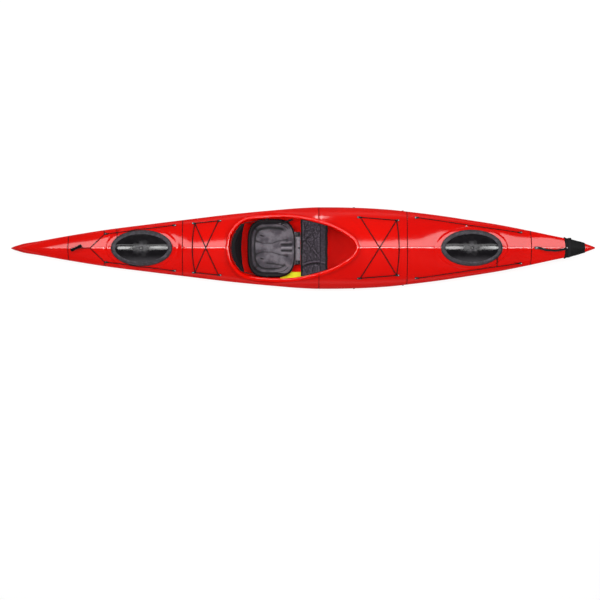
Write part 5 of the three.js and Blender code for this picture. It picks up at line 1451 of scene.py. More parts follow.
def make_braces(sizes, tints):
    rail, pedal = black_plastic("rail_plastic", 0.45), black_plastic("pedal_plastic", 0.55)
    steel = brushed_steel("bolt_steel", (0.8, 0.8, 0.8), 0.3, 0.3)
    rear = place_of(RAIL_REAR_SHARE)
    for side_name, side in SIDES:
        finish_node(f"{side_name}_foot_rail", rail)
        finish_node(f"{side_name}_foot_pedal", pedal)

        def wall(x):
            return np.array((x, side * (float(form_at(x).beam) - WALL), RAIL_Z))

        along = unit(wall(rear + RAIL_BOLT_SPACING) - wall(rear))
        outward = side * np.cross((0, 0, 1), along) * -1
        mould = Mould()
        for x in (rear, rear + RAIL_BOLT_SPACING):
            base = wall(x) + outward * WALL
            mould.lathe(base, outward, [
                (0.0078, -0.002), (0.0078, 0.0022), (0.0068, 0.0036), (0.0042, 0.0042),
                (0.0034, 0.0041), (0.0032, 0.0022), (0.0004, 0.0021),
            ])
        mould.cast(f"{side_name}_bolt_heads", [steel], "forward_cockpit", "steel")


def make_latches(sizes, tints):
    plate = brushed_steel("latch_steel")
    lever = brushed_steel("lever_steel", (0.56, 0.57, 0.6), 0.34)
    for seam in SEAMS:
        for side_name, _ in SIDES:
            finish_node(f"{seam.name}_{side_name}_latch_plate", plate)
            finish_node(f"{seam.name}_{side_name}_latch_lever", lever)


def finish_node(name, finish):
    """Gives a node of the model that stays as it is its finish."""
    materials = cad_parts[name].data.materials
    materials.clear()
    materials.append(finish)


# Seat
def pad_height(run, across, share, seam_depth=0.0):
    """Height of the seat pad's top over its underside."""
    along = run / (SEAT_LENGTH / 2)
    front = smoothstep(along, SEAT_FRONT_START, SEAT_FRONT_END)
    rise = SEAT_RIM_RISE + (SEAT_FRONT_RISE - SEAT_RIM_RISE) * front
    lift = seat_lift_at(share)
    hollow = 1 - smoothstep(lift, 0.05, 0.3)
    height = SEAT_THICKNESS + rise * lift
    rolled = 1 - smoothstep(along, 0.35, 0.6)
    height = height + rolled * 0.0065 * swell(share - 0.775, 0.03)
    height = height - rolled * 0.0065 * swell(share - 0.7, 0.02)
    x = SEAT_MIDDLE + run
    puff = np.full(np.shape(run), 1.0)
    for route in SEAT_SEAMS:
        at, beside = np.array(route).T
        off = across - np.interp(x, at, beside)
        past = np.maximum(at[0] - x, 0) + np.maximum(x - at[-1], 0)
        off = np.hypot(off, past * 1.5)
        puff = puff * (1 - 0.9 * swell(off, 0.017))
        height = height - hollow * seam_depth * swell(off, 0.0028)
    height = height - hollow * SEAT_CHANNEL_DEPTH * (1 - puff)
    for at, beside, long, wide in SEAT_VALLEYS:
        height = height - 0.01 * np.exp(-(((x - at) / long) ** 4) - ((across - beside) / wide) ** 2)
    for centre_x, centre_y in SEAT_SLOTS:
        beside = across - centre_y + (x - centre_x) * 0.2
        slot = ((x - centre_x) / 0.015) ** 4 + (beside / 0.0055) ** 4
        height = height - 0.008 * np.exp(-slot)
    for centre in SEAT_GROOVES:
        reach = smoothstep(x, -0.168, -0.150) * (1 - smoothstep(x, -0.078, -0.062))
        height = height - reach * 0.0105 * swell(across - centre, 0.0095)
        for ridge in (centre - 0.019, centre + 0.019):
            height = height + reach * 0.003 * swell(across - ridge, 0.008)
    return height


def pad_mould(sizes):
    """The seat pad: a hollow with seams, slots and front grooves, and a rolled rim."""
    rows, columns = 156, 188
    u, v = np.meshgrid(np.linspace(-1, 1, rows), np.linspace(-1, 1, columns), indexing="ij")
    power = 2 / SEAT_CORNER_POWER
    share = np.maximum(np.abs(u), np.abs(v))
    scale = share / np.maximum((np.abs(u) ** power + np.abs(v) ** power) ** (1 / power), 1e-9)
    run, across = u * scale * SEAT_LENGTH / 2, v * scale * SEAT_HALF_WIDTH
    height = SEAT_BASE + pad_height(run, across, share, sizes.seam_depth)
    top = np.stack([SEAT_MIDDLE + run, across, height], -1)
    flat = np.column_stack([top.reshape(-1, 3)[:, :2], np.zeros(rows * columns)])
    creases = rolling_noise(flat, 22.0, 4.0) * 0.0016
    creases = creases + rolling_noise(flat * (1, 2.2, 1), 55.0, 9.0) * 0.0006
    top[..., 2] += creases.reshape(rows, columns) * (1 - smoothstep(share, 0.8, 1))
    mould = Mould()
    # how far each place stands out; the seat fabric paints shade in the hollows and a highlight on
    # what stands out from it
    relief = relief_of(top[..., 2], 60, 0.0075) * (1 - smoothstep(share, 0.84, 0.9))
    index = mould.add(top, relief).reshape(rows, columns)
    mould.sheet(index)
    middle_u, middle_v = (abs(a[:-1, :-1] + a[1:, 1:]) / 2 for a in (u, v))
    # faces past this limit take the dark trim cloth: partly the pad's dark binding, partly painted
    # shade for the shaded side of its rim
    limit = SEAT_RIM_SHARE + 0.115 * smoothstep(u[:-1, :-1], 0.15, 0.8)
    dark = np.maximum(middle_u, middle_v) > limit
    mould.finish_of[-dark.size:] = [int(d) for d in dark.reshape(-1)]
    edge = np.concatenate([index[0, :-1], index[:-1, -1], index[-1, :0:-1], index[:0:-1, 0]])
    loops = [edge]
    rim = top.reshape(-1, 3)[edge]
    middle = np.array((SEAT_MIDDLE, 0, 0))
    side = [
        # share of the way out from the middle, share of the height
        (1.006, 0.72), (1.008, 0.5), (1.004, 0.3), (1, 0.17), (0.985, 0.06), (0.97, 0.02),
        (0.93, 0), (0.5, 0),
    ]
    for share_out, up in side:
        ring = middle + (rim - middle) * (share_out, share_out, 1)
        ring[:, 2] = SEAT_BASE + (rim[:, 2] - SEAT_BASE) * up
        loops.append(mould.add(ring))
    # the pad's sides take the dark trim cloth too, partly painted shade
    mould.sheet(np.array(loops), wrap_columns=True, finish=1)
    mould.hub(loops[-1], 1)
    return mould


def bar_rows(low, high, count, edge, rise, shoulder, inset=0.0, ripple=0.0):
    """Sections across a flat bar in front of the seat, lower towards its two ends."""
    rows = []
    for y in np.linspace(low, high, count):
        lift = rise[0] + rise[1] * max(min(1.0, (y - low) / edge, (high - y) / edge), 0) ** 0.5
        side, top = SEAT_BASE + lift * shoulder, SEAT_BASE + lift + ripple * math.sin(y * 140)
        rows.append([
            (BAR_REAR, y, SEAT_BASE - 0.001), (BAR_REAR + inset, y, side),
            (BAR_REAR + 0.004, y, top), (BAR_FRONT - 0.004, y, top),
            (BAR_FRONT - inset, y, side), (BAR_FRONT, y, SEAT_BASE - 0.001),
        ])
    return rows


def make_seat(sizes, tints):
    fabric = seat_fabric(tints)
    trim = dark_fabric("seat_trim", linear(18, 16, 19), linear(28, 25, 30), 0.0012, 0.55)
    pad = pad_mould(sizes).cast(
        "seat_cushion", [fabric, trim], "aft_cockpit", "pad", "seat_pad", degrees=60,
    )

    # piping along the rolled rim, open at the front
    turn = np.linspace(math.radians(40), math.radians(320), 130)
    rim = SEAT_RIM_SHARE
    run = rim * SEAT_LENGTH / 2 * boxy(np.cos(turn), SEAT_CORNER_POWER)
    across = rim * SEAT_HALF_WIDTH * boxy(np.sin(turn), SEAT_CORNER_POWER)
    height = SEAT_BASE + pad_height(run, across, np.full(run.shape, rim)) + 0.0008
    path = np.column_stack([SEAT_MIDDLE + run, across, height])
    radii = np.full(len(turn), 0.0019)
    radii[[0, -1]] = 0.0008
    piping = Mould().tube(path, radii, 8)
    piping.cast("seat_piping", [trim], "aft_cockpit", "pad", degrees=60)

    pan = grey_plastic(tints)
    finish_node("seat_pan", pan)
    bar = Mould().rings(
        bar_rows(-0.092, 0.086, 60, 0.003, (0.0004, 0.0042), 0.7, 0.001, 0.0005)
    )
    bar.cast("seat_bar", [pan], "aft_cockpit", "pan")
    ends = Mould()
    for low, high in ((-0.1215, -0.0925), (0.0865, 0.1215)):
        ends.rings(bar_rows(low, high, 12, 0.004, (0.002, 0.005), 0.6))
    # the small clip on the bar's front edge
    button = [(0.0075, 0), (0.0075, 0.004), (0.0055, 0.006), (0.0005, 0.0062)]
    ends.lathe((BAR_FRONT - 0.009, 0.002, SEAT_BASE + 0.002), (0, 0, 1), button)
    tongue = [
        (BAR_FRONT - 0.008, 0.002, SEAT_BASE + 0.006),
        (BAR_FRONT - 0.001, 0.002, SEAT_BASE + 0.0055),
    ]
    ends.strip(tongue, (0, 1, 0), 0.005, 0.003)
    ends.cast("seat_bar_ends", [black_plastic("clip_plastic", 0.4)], "aft_cockpit", "fittings")


# Back band
def band_frame(share):
    """Foot and top of the back band's section at a share of its half width, and its thickness."""
    square = share * share
    foot, top = (np.array((x + sweep * square, 0, z + lift * square)) for x, sweep, z, lift in (
        (BAND_FOOT_X, BAND_FOOT_SWEEP, BAND_FOOT_Z, BAND_FOOT_LIFT),
        (BAND_TOP_X, BAND_TOP_SWEEP, BAND_TOP_Z, -BAND_TOP_DROP),
    ))
    return foot, top, BAND_THICKNESS + (BAND_END_THICKNESS - BAND_THICKNESS) * square


def band_mould():
    sides = 44
    turn = full_turn(sides)
    up, out = (boxy(wave(turn), BAND_CORNER_POWER) for wave in (np.sin, np.cos))
    rows = []
    end = np.array([0.965, 0.985, 0.996, 1])
    for share in np.concatenate([-end[::-1], np.linspace(-0.94, 0.94, 95), end]):
        foot, top, thickness = band_frame(share)
        rise = top - foot
        half = np.linalg.norm(rise) / 2
        rise /= 2 * half
        closing = math.sqrt(max(0.0, 1 - (max(abs(share) - 0.93, 0) / 0.07) ** 2))
        plump = (0.3 + 0.7 * closing) * thickness / 2
        middle = (foot + top) / 2
        # sewn channels along the band, and one upright on either side
        channel = sum(swell(up - at, 0.07) for at in (-0.36, 0.36))
        channel = channel + swell(abs(share) - 0.62, 0.025)
        reach = np.abs(out) * (plump - 0.0045 * np.minimum(channel, 1))
        reach = np.where(out < 0, -reach, reach)
        height = up * (half - 0.004 * (1 - closing))
        rows.append(np.column_stack([
            middle[0] + rise[0] * height + rise[2] * reach,
            np.full(sides, BAND_HALF_WIDTH * share),
            middle[2] + rise[2] * height - rise[0] * reach,
        ]))
    rows = np.array(rows)
    crease = rolling_noise(rows.reshape(-1, 3) * (1, 0.6, 1.4), 26.0, 2.0).reshape(rows.shape[:2])
    rows[..., 0] += crease * 0.0014
    return Mould().rings(rows)


def washer(mould, centre, axis, inner, outer, thickness):
    """A flat ring with rounded edges."""
    half, edge = thickness / 2, thickness * 0.25
    axis = unit(axis)
    side = unit(np.cross(axis, (0, 0, 1)))
    lift = np.cross(axis, side)
    rows = []
    for angle in full_turn(32):
        out = math.cos(angle) * side + math.sin(angle) * lift
        profile = [
            (inner, -half), (outer - edge, -half), (outer, -half + edge), (outer, half - edge),
            (outer - edge, half), (inner, half),
        ]
        rows.append([np.asarray(centre) + out * size + axis * run for size, run in profile])
    mould.rings(rows, joined=True)


def make_back_band(sizes, tints):
    dark, lighter = linear(10, 8, 12), linear(17, 14, 20)
    fabric = dark_fabric("band_fabric", dark, lighter, 0.0013, 0.6, "y", "z")
    band = band_mould().cast(
        "back_rest", [fabric], "back_band", "webbing", "back_band", degrees=60,
    )

    piping = Mould()
    for edge in (-1, 1):
        path = []
        for share in np.linspace(-0.97, 0.97, 70):
            foot, top, thickness = band_frame(share)
            rise = unit(top - foot)
            out = np.array((rise[2], 0, -rise[0])) * edge * (thickness / 2 - 0.0025)
            path.append(top - rise * HEM + out + (0, BAND_HALF_WIDTH * share, 0))
        piping.tube(path, sizes.piping / 2, 8)
    trim = webbing("band_binding", linear(18, 17, 20), "y")
    piping.cast("back_rest_piping", [trim], "back_band", "webbing", degrees=60)

    tape = webbing("strap_webbing", linear(22, 21, 24), "x")
    half, thick = sizes.strap_width / 2, STRAP_THICKNESS
    for side_name, side in SIDES:
        eye = np.array((ANCHOR_X, side * (opening_half(ANCHOR_X) - 0.008), ANCHOR_Z))
        rear = np.array((STRAP_REAR[0], side * STRAP_REAR[1], STRAP_REAR[2]))
        along = unit(rear - eye)
        across = unit(np.cross(along, (0, 1, 0)))
        mould = Mould()
        axis = np.cross(along, across)
        washer(mould, eye, axis, ANCHOR_RADIUS + 0.0005, STRAP_EYE_RADIUS, thick)
        path = np.array([eye + (rear - eye) * t for t in np.linspace(0.075, 1, 24)])
        mould.strip(path, across, half, thick * 0.96)
        # a slider part way along, and a stitched fold at the band
        for t, length, wider in ((0.35, 0.016, 0.002), (0.9, 0.03, -0.002)):
            middle = eye + (rear - eye) * t
            ends = [middle - along * length / 2, middle + along * length / 2]
            mould.strip(ends, across, half + wider, thick * 1.7)
        mould.cast(
            f"{side_name}_strap", [tape], "back_band", "webbing", f"{side_name}_back_strap",
        )
    # the strap from under the port side of the pad's rim up to the coaming
    mould = Mould()
    route = smoothed([
        (-0.172, 0.168, 0.112), (-0.15, 0.183, 0.146), (-0.118, 0.196, 0.168),
        (-0.07, 0.2125, 0.214),
    ], 10)
    mould.strip(route, (0.86, -0.45, 0), 0.0085, 0.0026)
    rivet = [(0.0042, 0), (0.0042, 0.002), (0.003, 0.0032), (0.0004, 0.0034)]
    mould.lathe((-0.074, 0.2105, 0.211), (-0.2, -0.9, 0.15), rivet)
    mould.cast("seat_strap", [tape], "aft_cockpit", "webbing")


# Bag and foam block
def ridged(points, scale, seed):
    """Noise with sharp creases, between about 0 and 1."""
    return 1 - np.minimum(np.abs(rolling_noise(points, scale, seed)) * 2.2, 1)


def crumpled(points, scale, seed):
    """Panels between sharp dark folds, from 0 in a fold to 1."""
    folds = []
    for x, y, z in points * scale + seed * 7.3:
        near, second = noise.voronoi((x, y, z))[0][:2]
        folds.append(min((second - near) * 6.5, 1.0))
    return np.array(folds)


def bag_mould(sizes):
    """The bag slung across the cockpit: a sagging shell with folds and crumpled places."""
    runs, spans = np.linspace(0, 1, 110), np.linspace(-1, 1, 200)
    x = BAG_REAR + BAG_LENGTH * runs[:, None] + 0 * spans
    y = (opening_half(x) - 0.0016) * spans
    share = y / COAMING_HALF_WIDTH
    base = lip_height(x) - BAG_DROP - BAG_SAG * (1 - share * share)
    flat = np.stack([x, y, 0 * x], -1).reshape(-1, 3)
    pull = [rolling_noise(flat, 14.0, seed) for seed in (5.0, 8.0)]
    warp = flat + np.column_stack([*pull, 0 * flat[:, 0]]) * 0.014
    creases = ridged(warp * (1, 0.8, 1), 21.0, 1.0) ** 5
    panels = crumpled(warp * (1, 0.5, 1), 22.0, 1.0) * 0.6
    panels = panels + crumpled(warp * (0.6, 1, 1), 40.0, 3.0) * 0.3
    rolls = rolling_noise(flat * (1, 0.7, 1), 11.0, 3.0)
    relief = sizes.crease * (panels + creases * 0.4).reshape(x.shape)
    crumple = np.exp(-(((x - 0.052) / 0.04) ** 2 + ((y - 0.066) / 0.045) ** 2))
    knots = 1 - crumpled(warp, 75.0, 5.0).reshape(x.shape)
    relief = relief * (0.62 + 0.6 * crumple) - crumple * knots * 0.004
    relief = relief + rolls.reshape(x.shape) * 0.0045
    # a long fold towards starboard, one aslant near the middle, and the stitched hem
    long_fold = y + 0.121 - 0.02 * np.sin((x - 0.01) * 17)
    relief = relief + 0.007 * swell(long_fold, 0.007) * smoothstep(x, 0.0, 0.03)
    relief = relief - 0.005 * swell(long_fold + 0.014, 0.008)
    slant = (x - 0.1) + (y + 0.035) * 0.8
    relief = relief + 0.006 * swell(slant, 0.006) * swell(y + 0.04, 0.035)
    hem = smoothstep(x, 0.126, 0.132)
    relief = relief * (1 - 0.65 * hem) - 0.0035 * swell(x - 0.131, 0.0022)
    edge = np.minimum(1, np.minimum(runs, 1 - runs) / 0.045)[:, None]
    calm = edge * np.minimum(1, (1 - np.abs(spans)) / 0.05)
    top = np.stack([x, y, base + relief * calm], -1)
    under = top.copy()
    depth = BAG_THICKNESS * (0.35 + 0.65 * np.sqrt(1 - (1 - edge) ** 2))
    under[..., 2] = base + 0.3 * rolls.reshape(x.shape) * 0.0045 * calm - depth
    mould = Mould()
    rows = np.concatenate([top, under[:, ::-1]], axis=1)
    # how far the cloth stands out: its finish paints shade in the folds and a highlight on the
    # ridges from it
    folds = relief_of(relief * calm, 34, 0.0017)
    folds = np.concatenate([folds, 0 * folds], axis=1)
    index = mould.add(rows, folds).reshape(rows.shape[:2])
    mould.sheet(index, wrap_columns=True)
    wide = len(spans)
    for i in (0, -1):
        mould.sheet(np.stack([index[i, :wide], index[i, :wide - 1:-1]]))
    return mould


def make_bag(sizes, tints):
    cloth = dark_fabric("bag_cloth", tints.bag, linear(58, 49, 61), 0.0011, 0.42)
    bag = bag_mould(sizes).cast(
        "slung_bag", [cloth], "aft_cockpit", "bag", "cockpit_bag", degrees=75,
    )
    tape = webbing("bag_binding", linear(4, 4, 5), "y")
    mould = Mould()
    for at, width in ((BAG_REAR + 0.002, 0.0072), (BAG_REAR + BAG_LENGTH - 0.004, 0.0085)):
        half = opening_half(at) - HEM
        y = np.linspace(-half, half, 90)
        z = lip_height(at) - BAG_DROP - BAG_SAG * (1 - (y / COAMING_HALF_WIDTH) ** 2) + HEM
        path = np.column_stack([at + 0.0012 * np.sin(y * 60), y, z])
        mould.tube(path, width, 12, flat=0.72, up=(0, 0, 1))
    mould.cast("bag_bindings", [tape], "aft_cockpit", "webbing", degrees=60)


def make_block(sizes, tints):
    foam = closed_foam("block_foam", tints.block, linear(238, 250, 40), 620.0)
    top, inner = BLOCK_TOP, BLOCK_INNER
    rows = []
    for x in np.linspace(BLOCK_REAR, BLOCK_REAR + BLOCK_LENGTH, 30):
        bilge = np.linspace(math.pi / 2, 0, 200)
        across, height = section_points(x, WALL + FIT_GAP, bilge, np.zeros(200, bool))
        wall = float(np.interp(top, height, across))
        floor = float(np.interp(inner, across, height))
        curve = [(wall, top)]
        between = np.linspace(wall, inner, 12)[1:-1]
        curve += [(y, float(np.interp(y, across, height))) for y in between]
        curve += [(inner, floor), (inner, top - 0.003), (inner + 0.0008, top - 0.0008)]
        curve += [(inner + 0.003, top)]
        curve += [(y, top) for y in np.linspace(inner + 0.003, wall, 8)[1:-1]]
        rows.append([(x, -y, z) for y, z in curve])
    block = Mould().rings(rows).cast("bilge_block", [foam], "aft_cockpit", "block", "foam_block")


# Rigging
def fitting_place(shares, side):
    x = place_of(shares[0])
    return np.array((x, side * float(form_at(x).beam) * shares[1]))


def eye_of(at, run):
    return at + (run * (FITTING_LENGTH - FITTING_WIDTH / 2), 0)


def on_deck(plan, radius):
    plan = np.asarray(plan, float)
    return np.column_stack([plan, deck_top(plan[:, 0], plan[:, 1]) + CORD_LIFT + radius])


def run_between(first, last, bow=0.0, count=60):
    t = np.linspace(0, 1, count)[:, None]
    plan = np.asarray(first) * (1 - t) + np.asarray(last) * t
    plan[:, 0] += bow * 4 * t[:, 0] * (1 - t[:, 0])
    return plan


def add_fitting(mould, at, run):
    """A small pad eye: an oval foot, an arch that the cord runs through, and a screw."""
    base = float(deck_top(*at))
    half = FITTING_WIDTH / 2 + 0.0012
    turn = full_turn(36)
    reach = np.where(np.cos(turn) > 0, FITTING_LENGTH - half, 0.0)
    plan = np.column_stack([
        at[0] + run * (reach + half * np.cos(turn)), at[1] + half * np.sin(turn),
    ])
    inner = np.column_stack([
        at[0] + run * (reach + half * 0.8 * np.cos(turn)), at[1] + half * 0.8 * np.sin(turn),
    ])
    ground = deck_top(plan[:, 0], plan[:, 1])
    mould.rings([
        np.column_stack([plan, ground - 0.001]), np.column_stack([plan, ground + 0.0022]),
        np.column_stack([inner, ground + 0.0034]),
    ])
    eye = eye_of(at, run)
    floor = float(deck_top(*eye)) + 0.001
    bend = np.linspace(0, math.pi, 15)
    arch = np.column_stack([
        np.full(15, eye[0]), eye[1] + 0.0052 * np.cos(bend), floor + 0.0088 * np.sin(bend) ** 0.8,
    ])
    mould.tube(arch, 0.0019, 8, up=(1, 0, 0))
    mould.lathe((*at, base + 0.003), (0, 0, 1), [
        (0.0037, -0.001), (0.0037, 0.001), (0.003, 0.0018), (0.0016, 0.0022),
        (0.0013, 0.0012), (0.0003, 0.0011),
    ], 20, finish=1)


def add_knot(mould, place, size):
    """A small knot: a few turns of cord round the run."""
    place = np.asarray(place, float)
    turn = np.linspace(0, 4 * math.pi, 26)
    loop = np.column_stack([
        size * 0.55 * (turn / (2 * math.pi) - 1), size * 0.8 * np.cos(turn),
        size * 0.8 * np.sin(turn),
    ])
    mould.tube(place + loop, size * 0.5, 8)


def rig(name, body, tints, fittings, cords, node, tails=(), screws=()):
    """One set of fittings with the cords that run between them."""
    cord_mould, fitting_mould = Mould(), Mould()
    for at, run in fittings:
        add_fitting(fitting_mould, at, run)
        eye = eye_of(at, run)
        add_knot(cord_mould, on_deck([eye + (run * 0.006, 0)], 0.002)[0], 0.0042)
    for at in screws:
        fitting_mould.lathe((*at, float(deck_top(*at))), (0, 0, 1), [
            (0.0046, -0.001), (0.0046, 0.0008), (0.0034, 0.002), (0.0016, 0.0022),
            (0.0014, 0.0012), (0.0003, 0.0011),
        ], 20, finish=1)
    for path, radius in cords:
        cord_mould.tube(path, radius, 10)
    for path, radius in tails:
        cord_mould.tube(path, radius, 8)
    cord_mould.cast(f"{name}_cords", [braided_cord(tints)], body, "cord", node, degrees=60)
    made = bpy.data.materials
    plastic = made.get("fitting_plastic") or black_plastic("fitting_plastic", 0.36)
    steel = made.get("screw_steel") or brushed_steel("screw_steel", (0.62, 0.68, 0.72), 0.4)
    fitting_mould.cast(f"{name}_fittings", [plastic, steel], body, "fittings")


def make_bungees(sizes, tints):
    for name, body, rear_shares, fore_shares, bowed in (
        ("aft_deck_bungee", "aft_cockpit", *aft_deck_shares, "rear"),
        ("foredeck_bungee", "forward_cockpit", *fore_deck_shares, "fore"),
    ):
        fittings, eyes = [], {}
        for side_name, side in SIDES:
            for end, shares, run in (("rear", rear_shares, 1), ("fore", fore_shares, -1)):
                at = fitting_place(shares, side)
                fittings.append((at, run))
                eyes[side_name, end] = eye_of(at, run)
        radius = sizes.bungee / 2
        bow = -BUNGEE_BOW if bowed == "rear" else BUNGEE_BOW
        runs = [
            run_between(eyes["port", "rear"], eyes["port", "fore"]),
            run_between(eyes["starboard", "rear"], eyes["starboard", "fore"]),
            run_between(eyes["port", bowed], eyes["starboard", bowed], bow),
            run_between(eyes["port", "rear"], eyes["starboard", "fore"]),
            run_between(eyes["starboard", "rear"], eyes["port", "fore"]),
        ]
        cords = [(on_deck(plan, radius), radius) for plan in runs]
        over, half = cords[-1][0], len(runs[3]) // 2
        crossing = (runs[3][half] + runs[4][half]) / 2
        away = np.linalg.norm(over[:, :2] - crossing, axis=1)
        over[:, 2] += (2 * radius + 0.0004) * swell(away, 0.028)
        rig(name, body, tints, fittings, cords, name)


def make_deck_lines(sizes, tints):
    radius = sizes.line / 2
    apex = np.array((place_of(APEX_SHARE), 0.0))
    fittings, cords, tails = [], [], []
    for _, side in SIDES:
        rear, fore = (fitting_place(shares, side) for shares in stern_deck_shares)
        fittings += [(rear, 1), (fore, -1)]
        ends = eye_of(rear, 1), eye_of(fore, -1)
        points = [ends[0]]
        for share in passing_shares:
            x = HATCHES[0].x + HATCH_HALF_LENGTH * share
            edge = HATCH_HALF_WIDTH * math.sqrt(1 - share * share) + LINE_LID_CLEARANCE
            straight = float(np.interp(x, *zip(*ends)))
            points.append((x, side * max(edge, side * straight)))
        points.append(ends[1])
        cords.append((on_deck(smoothed(points, 14), radius), radius))
        cords.append((on_deck(run_between(rear, apex, count=30), radius), radius))
        # the tail beyond the knot
        reach = (0.004, side * 0.024) if side > 0 else (0.010, side * 0.024)
        tail = run_between(rear + (0.0, side * 0.002), rear + (-0.012, 0) + reach, count=8)
        tails.append((on_deck(tail, radius) + (0, 0, 0.002), radius * 0.85))
    rig("stern_lines", "stern_hatch", tints, fittings, cords, "stern_deck_lines", tails)
    for side_name, side in SIDES:
        rear, fore = (fitting_place(shares, side) for shares in bow_deck_shares)
        plan = run_between(eye_of(rear, 1), eye_of(fore, -1))
        tails = []
        if side < 0:
            tail = run_between(
                fore + (-0.012, side * 0.002), fore + (-0.052, side * -0.004), count=8,
            )
            tails.append((on_deck(tail, radius) + (0, 0, 0.003), radius * 0.85))
        rig(
            f"{side_name}_bow", "bow_hatch", tints, [(rear, 1), (fore, -1)],
            [(on_deck(plan, radius), radius)], f"{side_name}_bow_line", tails,
            [PLATEAU_SCREW] if side > 0 else (),
        )


def make_tethers(sizes, tints):
    radius = sizes.tether / 2
    cord = braided_cord(tints)
    for hatch, side, share, ends, strands in (
        (HATCHES[0], 1, STERN_TETHER_SHARE, stern_deck_shares, 1),
        (HATCHES[1], -1, BOW_TETHER_SHARE, bow_deck_shares, 2),
    ):
        x = hatch.x + HATCH_HALF_LENGTH * share
        edge = HATCH_HALF_WIDTH * math.sqrt(1 - share * share)
        skirt = hatch.top + hatch.slope * HATCH_HALF_LENGTH * share
        skirt = skirt - hatch.camber * (1 - share * share) - SKIRT_DEPTH / 2
        rear, fore = (eye_of(fitting_place(s, 1), r) for s, r in zip(ends, (1, -1)))
        if hatch.name == "stern":
            first = hatch.x + HATCH_HALF_LENGTH * passing_shares[0]
            reach = HATCH_HALF_WIDTH * math.sqrt(1 - passing_shares[0] ** 2) + LINE_LID_CLEARANCE
            fore = np.array((first, reach))
        line = float(np.interp(x, [rear[0], fore[0]], [rear[1], fore[1]]))
        far = line - sizes.line / 2 - 2 * radius - FIT_GAP
        mould = Mould()
        for strand in range(strands):
            shift = (strand - (strands - 1) / 2) * 0.006
            path = on_deck([
                (x + shift, side * (edge + 0.001)), (x + shift * 0.4, side * (edge + far) / 2),
                (x, side * far),
            ], radius)
            path[0, 2] = skirt
            path[1, 2] += radius
            mould.tube(smoothed(path, 8), radius, 8)
        end = on_deck([(x, side * far)], radius)[0]
        add_knot(mould, end, 0.0036)
        if hatch.name == "stern":
            # a small loop of its end, standing out past the line
            turn = np.linspace(0, 2 * math.pi, 24)
            out = side * (line + 0.014 - 0.015 * np.cos(turn))
            path = on_deck(np.column_stack([x + 0.0065 * np.sin(turn), out]), 0.0011)
            mould.tube(path + (0, 0, 0.0045), 0.0011, 8)
        name = hatch.name
        mould.cast(
            f"{name}_lid_tether", [cord], f"{name}_cover", "cord", f"{name}_cover_tether",
            degrees=60,
        )


# Carrying toggle, handle and bow sleeve
def make_toggle(sizes, tints):
    direction = unit((math.cos(TOGGLE_YAW), math.sin(TOGGLE_YAW), TOGGLE_LEAN))
    x = place_of(TOGGLE_SHARE)
    lift = sizes.toggle / 2 + TOGGLE_CLEARANCE + TOGGLE_LENGTH / 2 * direction[2]
    middle = np.array((x, 0, float(deck_height(x, 0)) + lift))
    apex = on_deck([(place_of(APEX_SHARE), 0)], sizes.line / 2)[0]
    half, wide, waist = TOGGLE_LENGTH / 2, sizes.toggle / 2, 0.0088
    profile = [(0.002, -half), (0.0075, -half), (0.0102, -half + 0.0015)]
    low = wide - 0.0016
    for ridge in np.linspace(-half + 0.004, -half + 0.020, 4):
        profile += [(wide, ridge), (wide, ridge + 0.0022)]
        profile += [(low, ridge + 0.0034), (low, ridge + 0.0046)]
    profile += [(wide - 0.002, -0.019), (waist, -0.012), (waist - 0.0008, 0)]
    profile += [(waist, 0.012), (wide - 0.002, 0.019)]
    for ridge in np.linspace(half - 0.0255, half - 0.0085, 4):
        profile += [(low, ridge), (low, ridge + 0.0012)]
        profile += [(wide, ridge + 0.0024), (wide, ridge + 0.0044)]
    profile += [(0.0102, half - 0.0015), (0.0075, half), (0.002, half)]
    Mould().lathe(middle, direction, profile, 32).cast(
        "carrying_toggle", [clean_rubber(tints)], "toggle", "fittings", "stern_toggle",
        degrees=40,
    )
    cords = Mould()
    side = unit(np.cross(direction, (0, 0, 1)))
    over = np.cross(side, direction)
    # a loop of cord round the waist, its two parts running to the apex
    turn = full_turn(30)
    circle = np.outer(np.cos(turn), side) + np.outer(np.sin(turn), over)
    loop = middle + (waist + 0.0016) * circle
    cords.tube(loop, 0.002, 8, joined=True)
    end = apex - (0.0035, 0, 0)
    for offset in (-1, 1):
        start = middle + side * offset * (waist + 0.0012)
        bend = (start + end) / 2 + (0.0, offset * 0.0025, 0.002)
        cords.tube(smoothed([start, bend, end], 10), 0.0018, 8)
    cords.cast("toggle_cord", [braided_cord(tints)], "toggle", "cord", degrees=60)


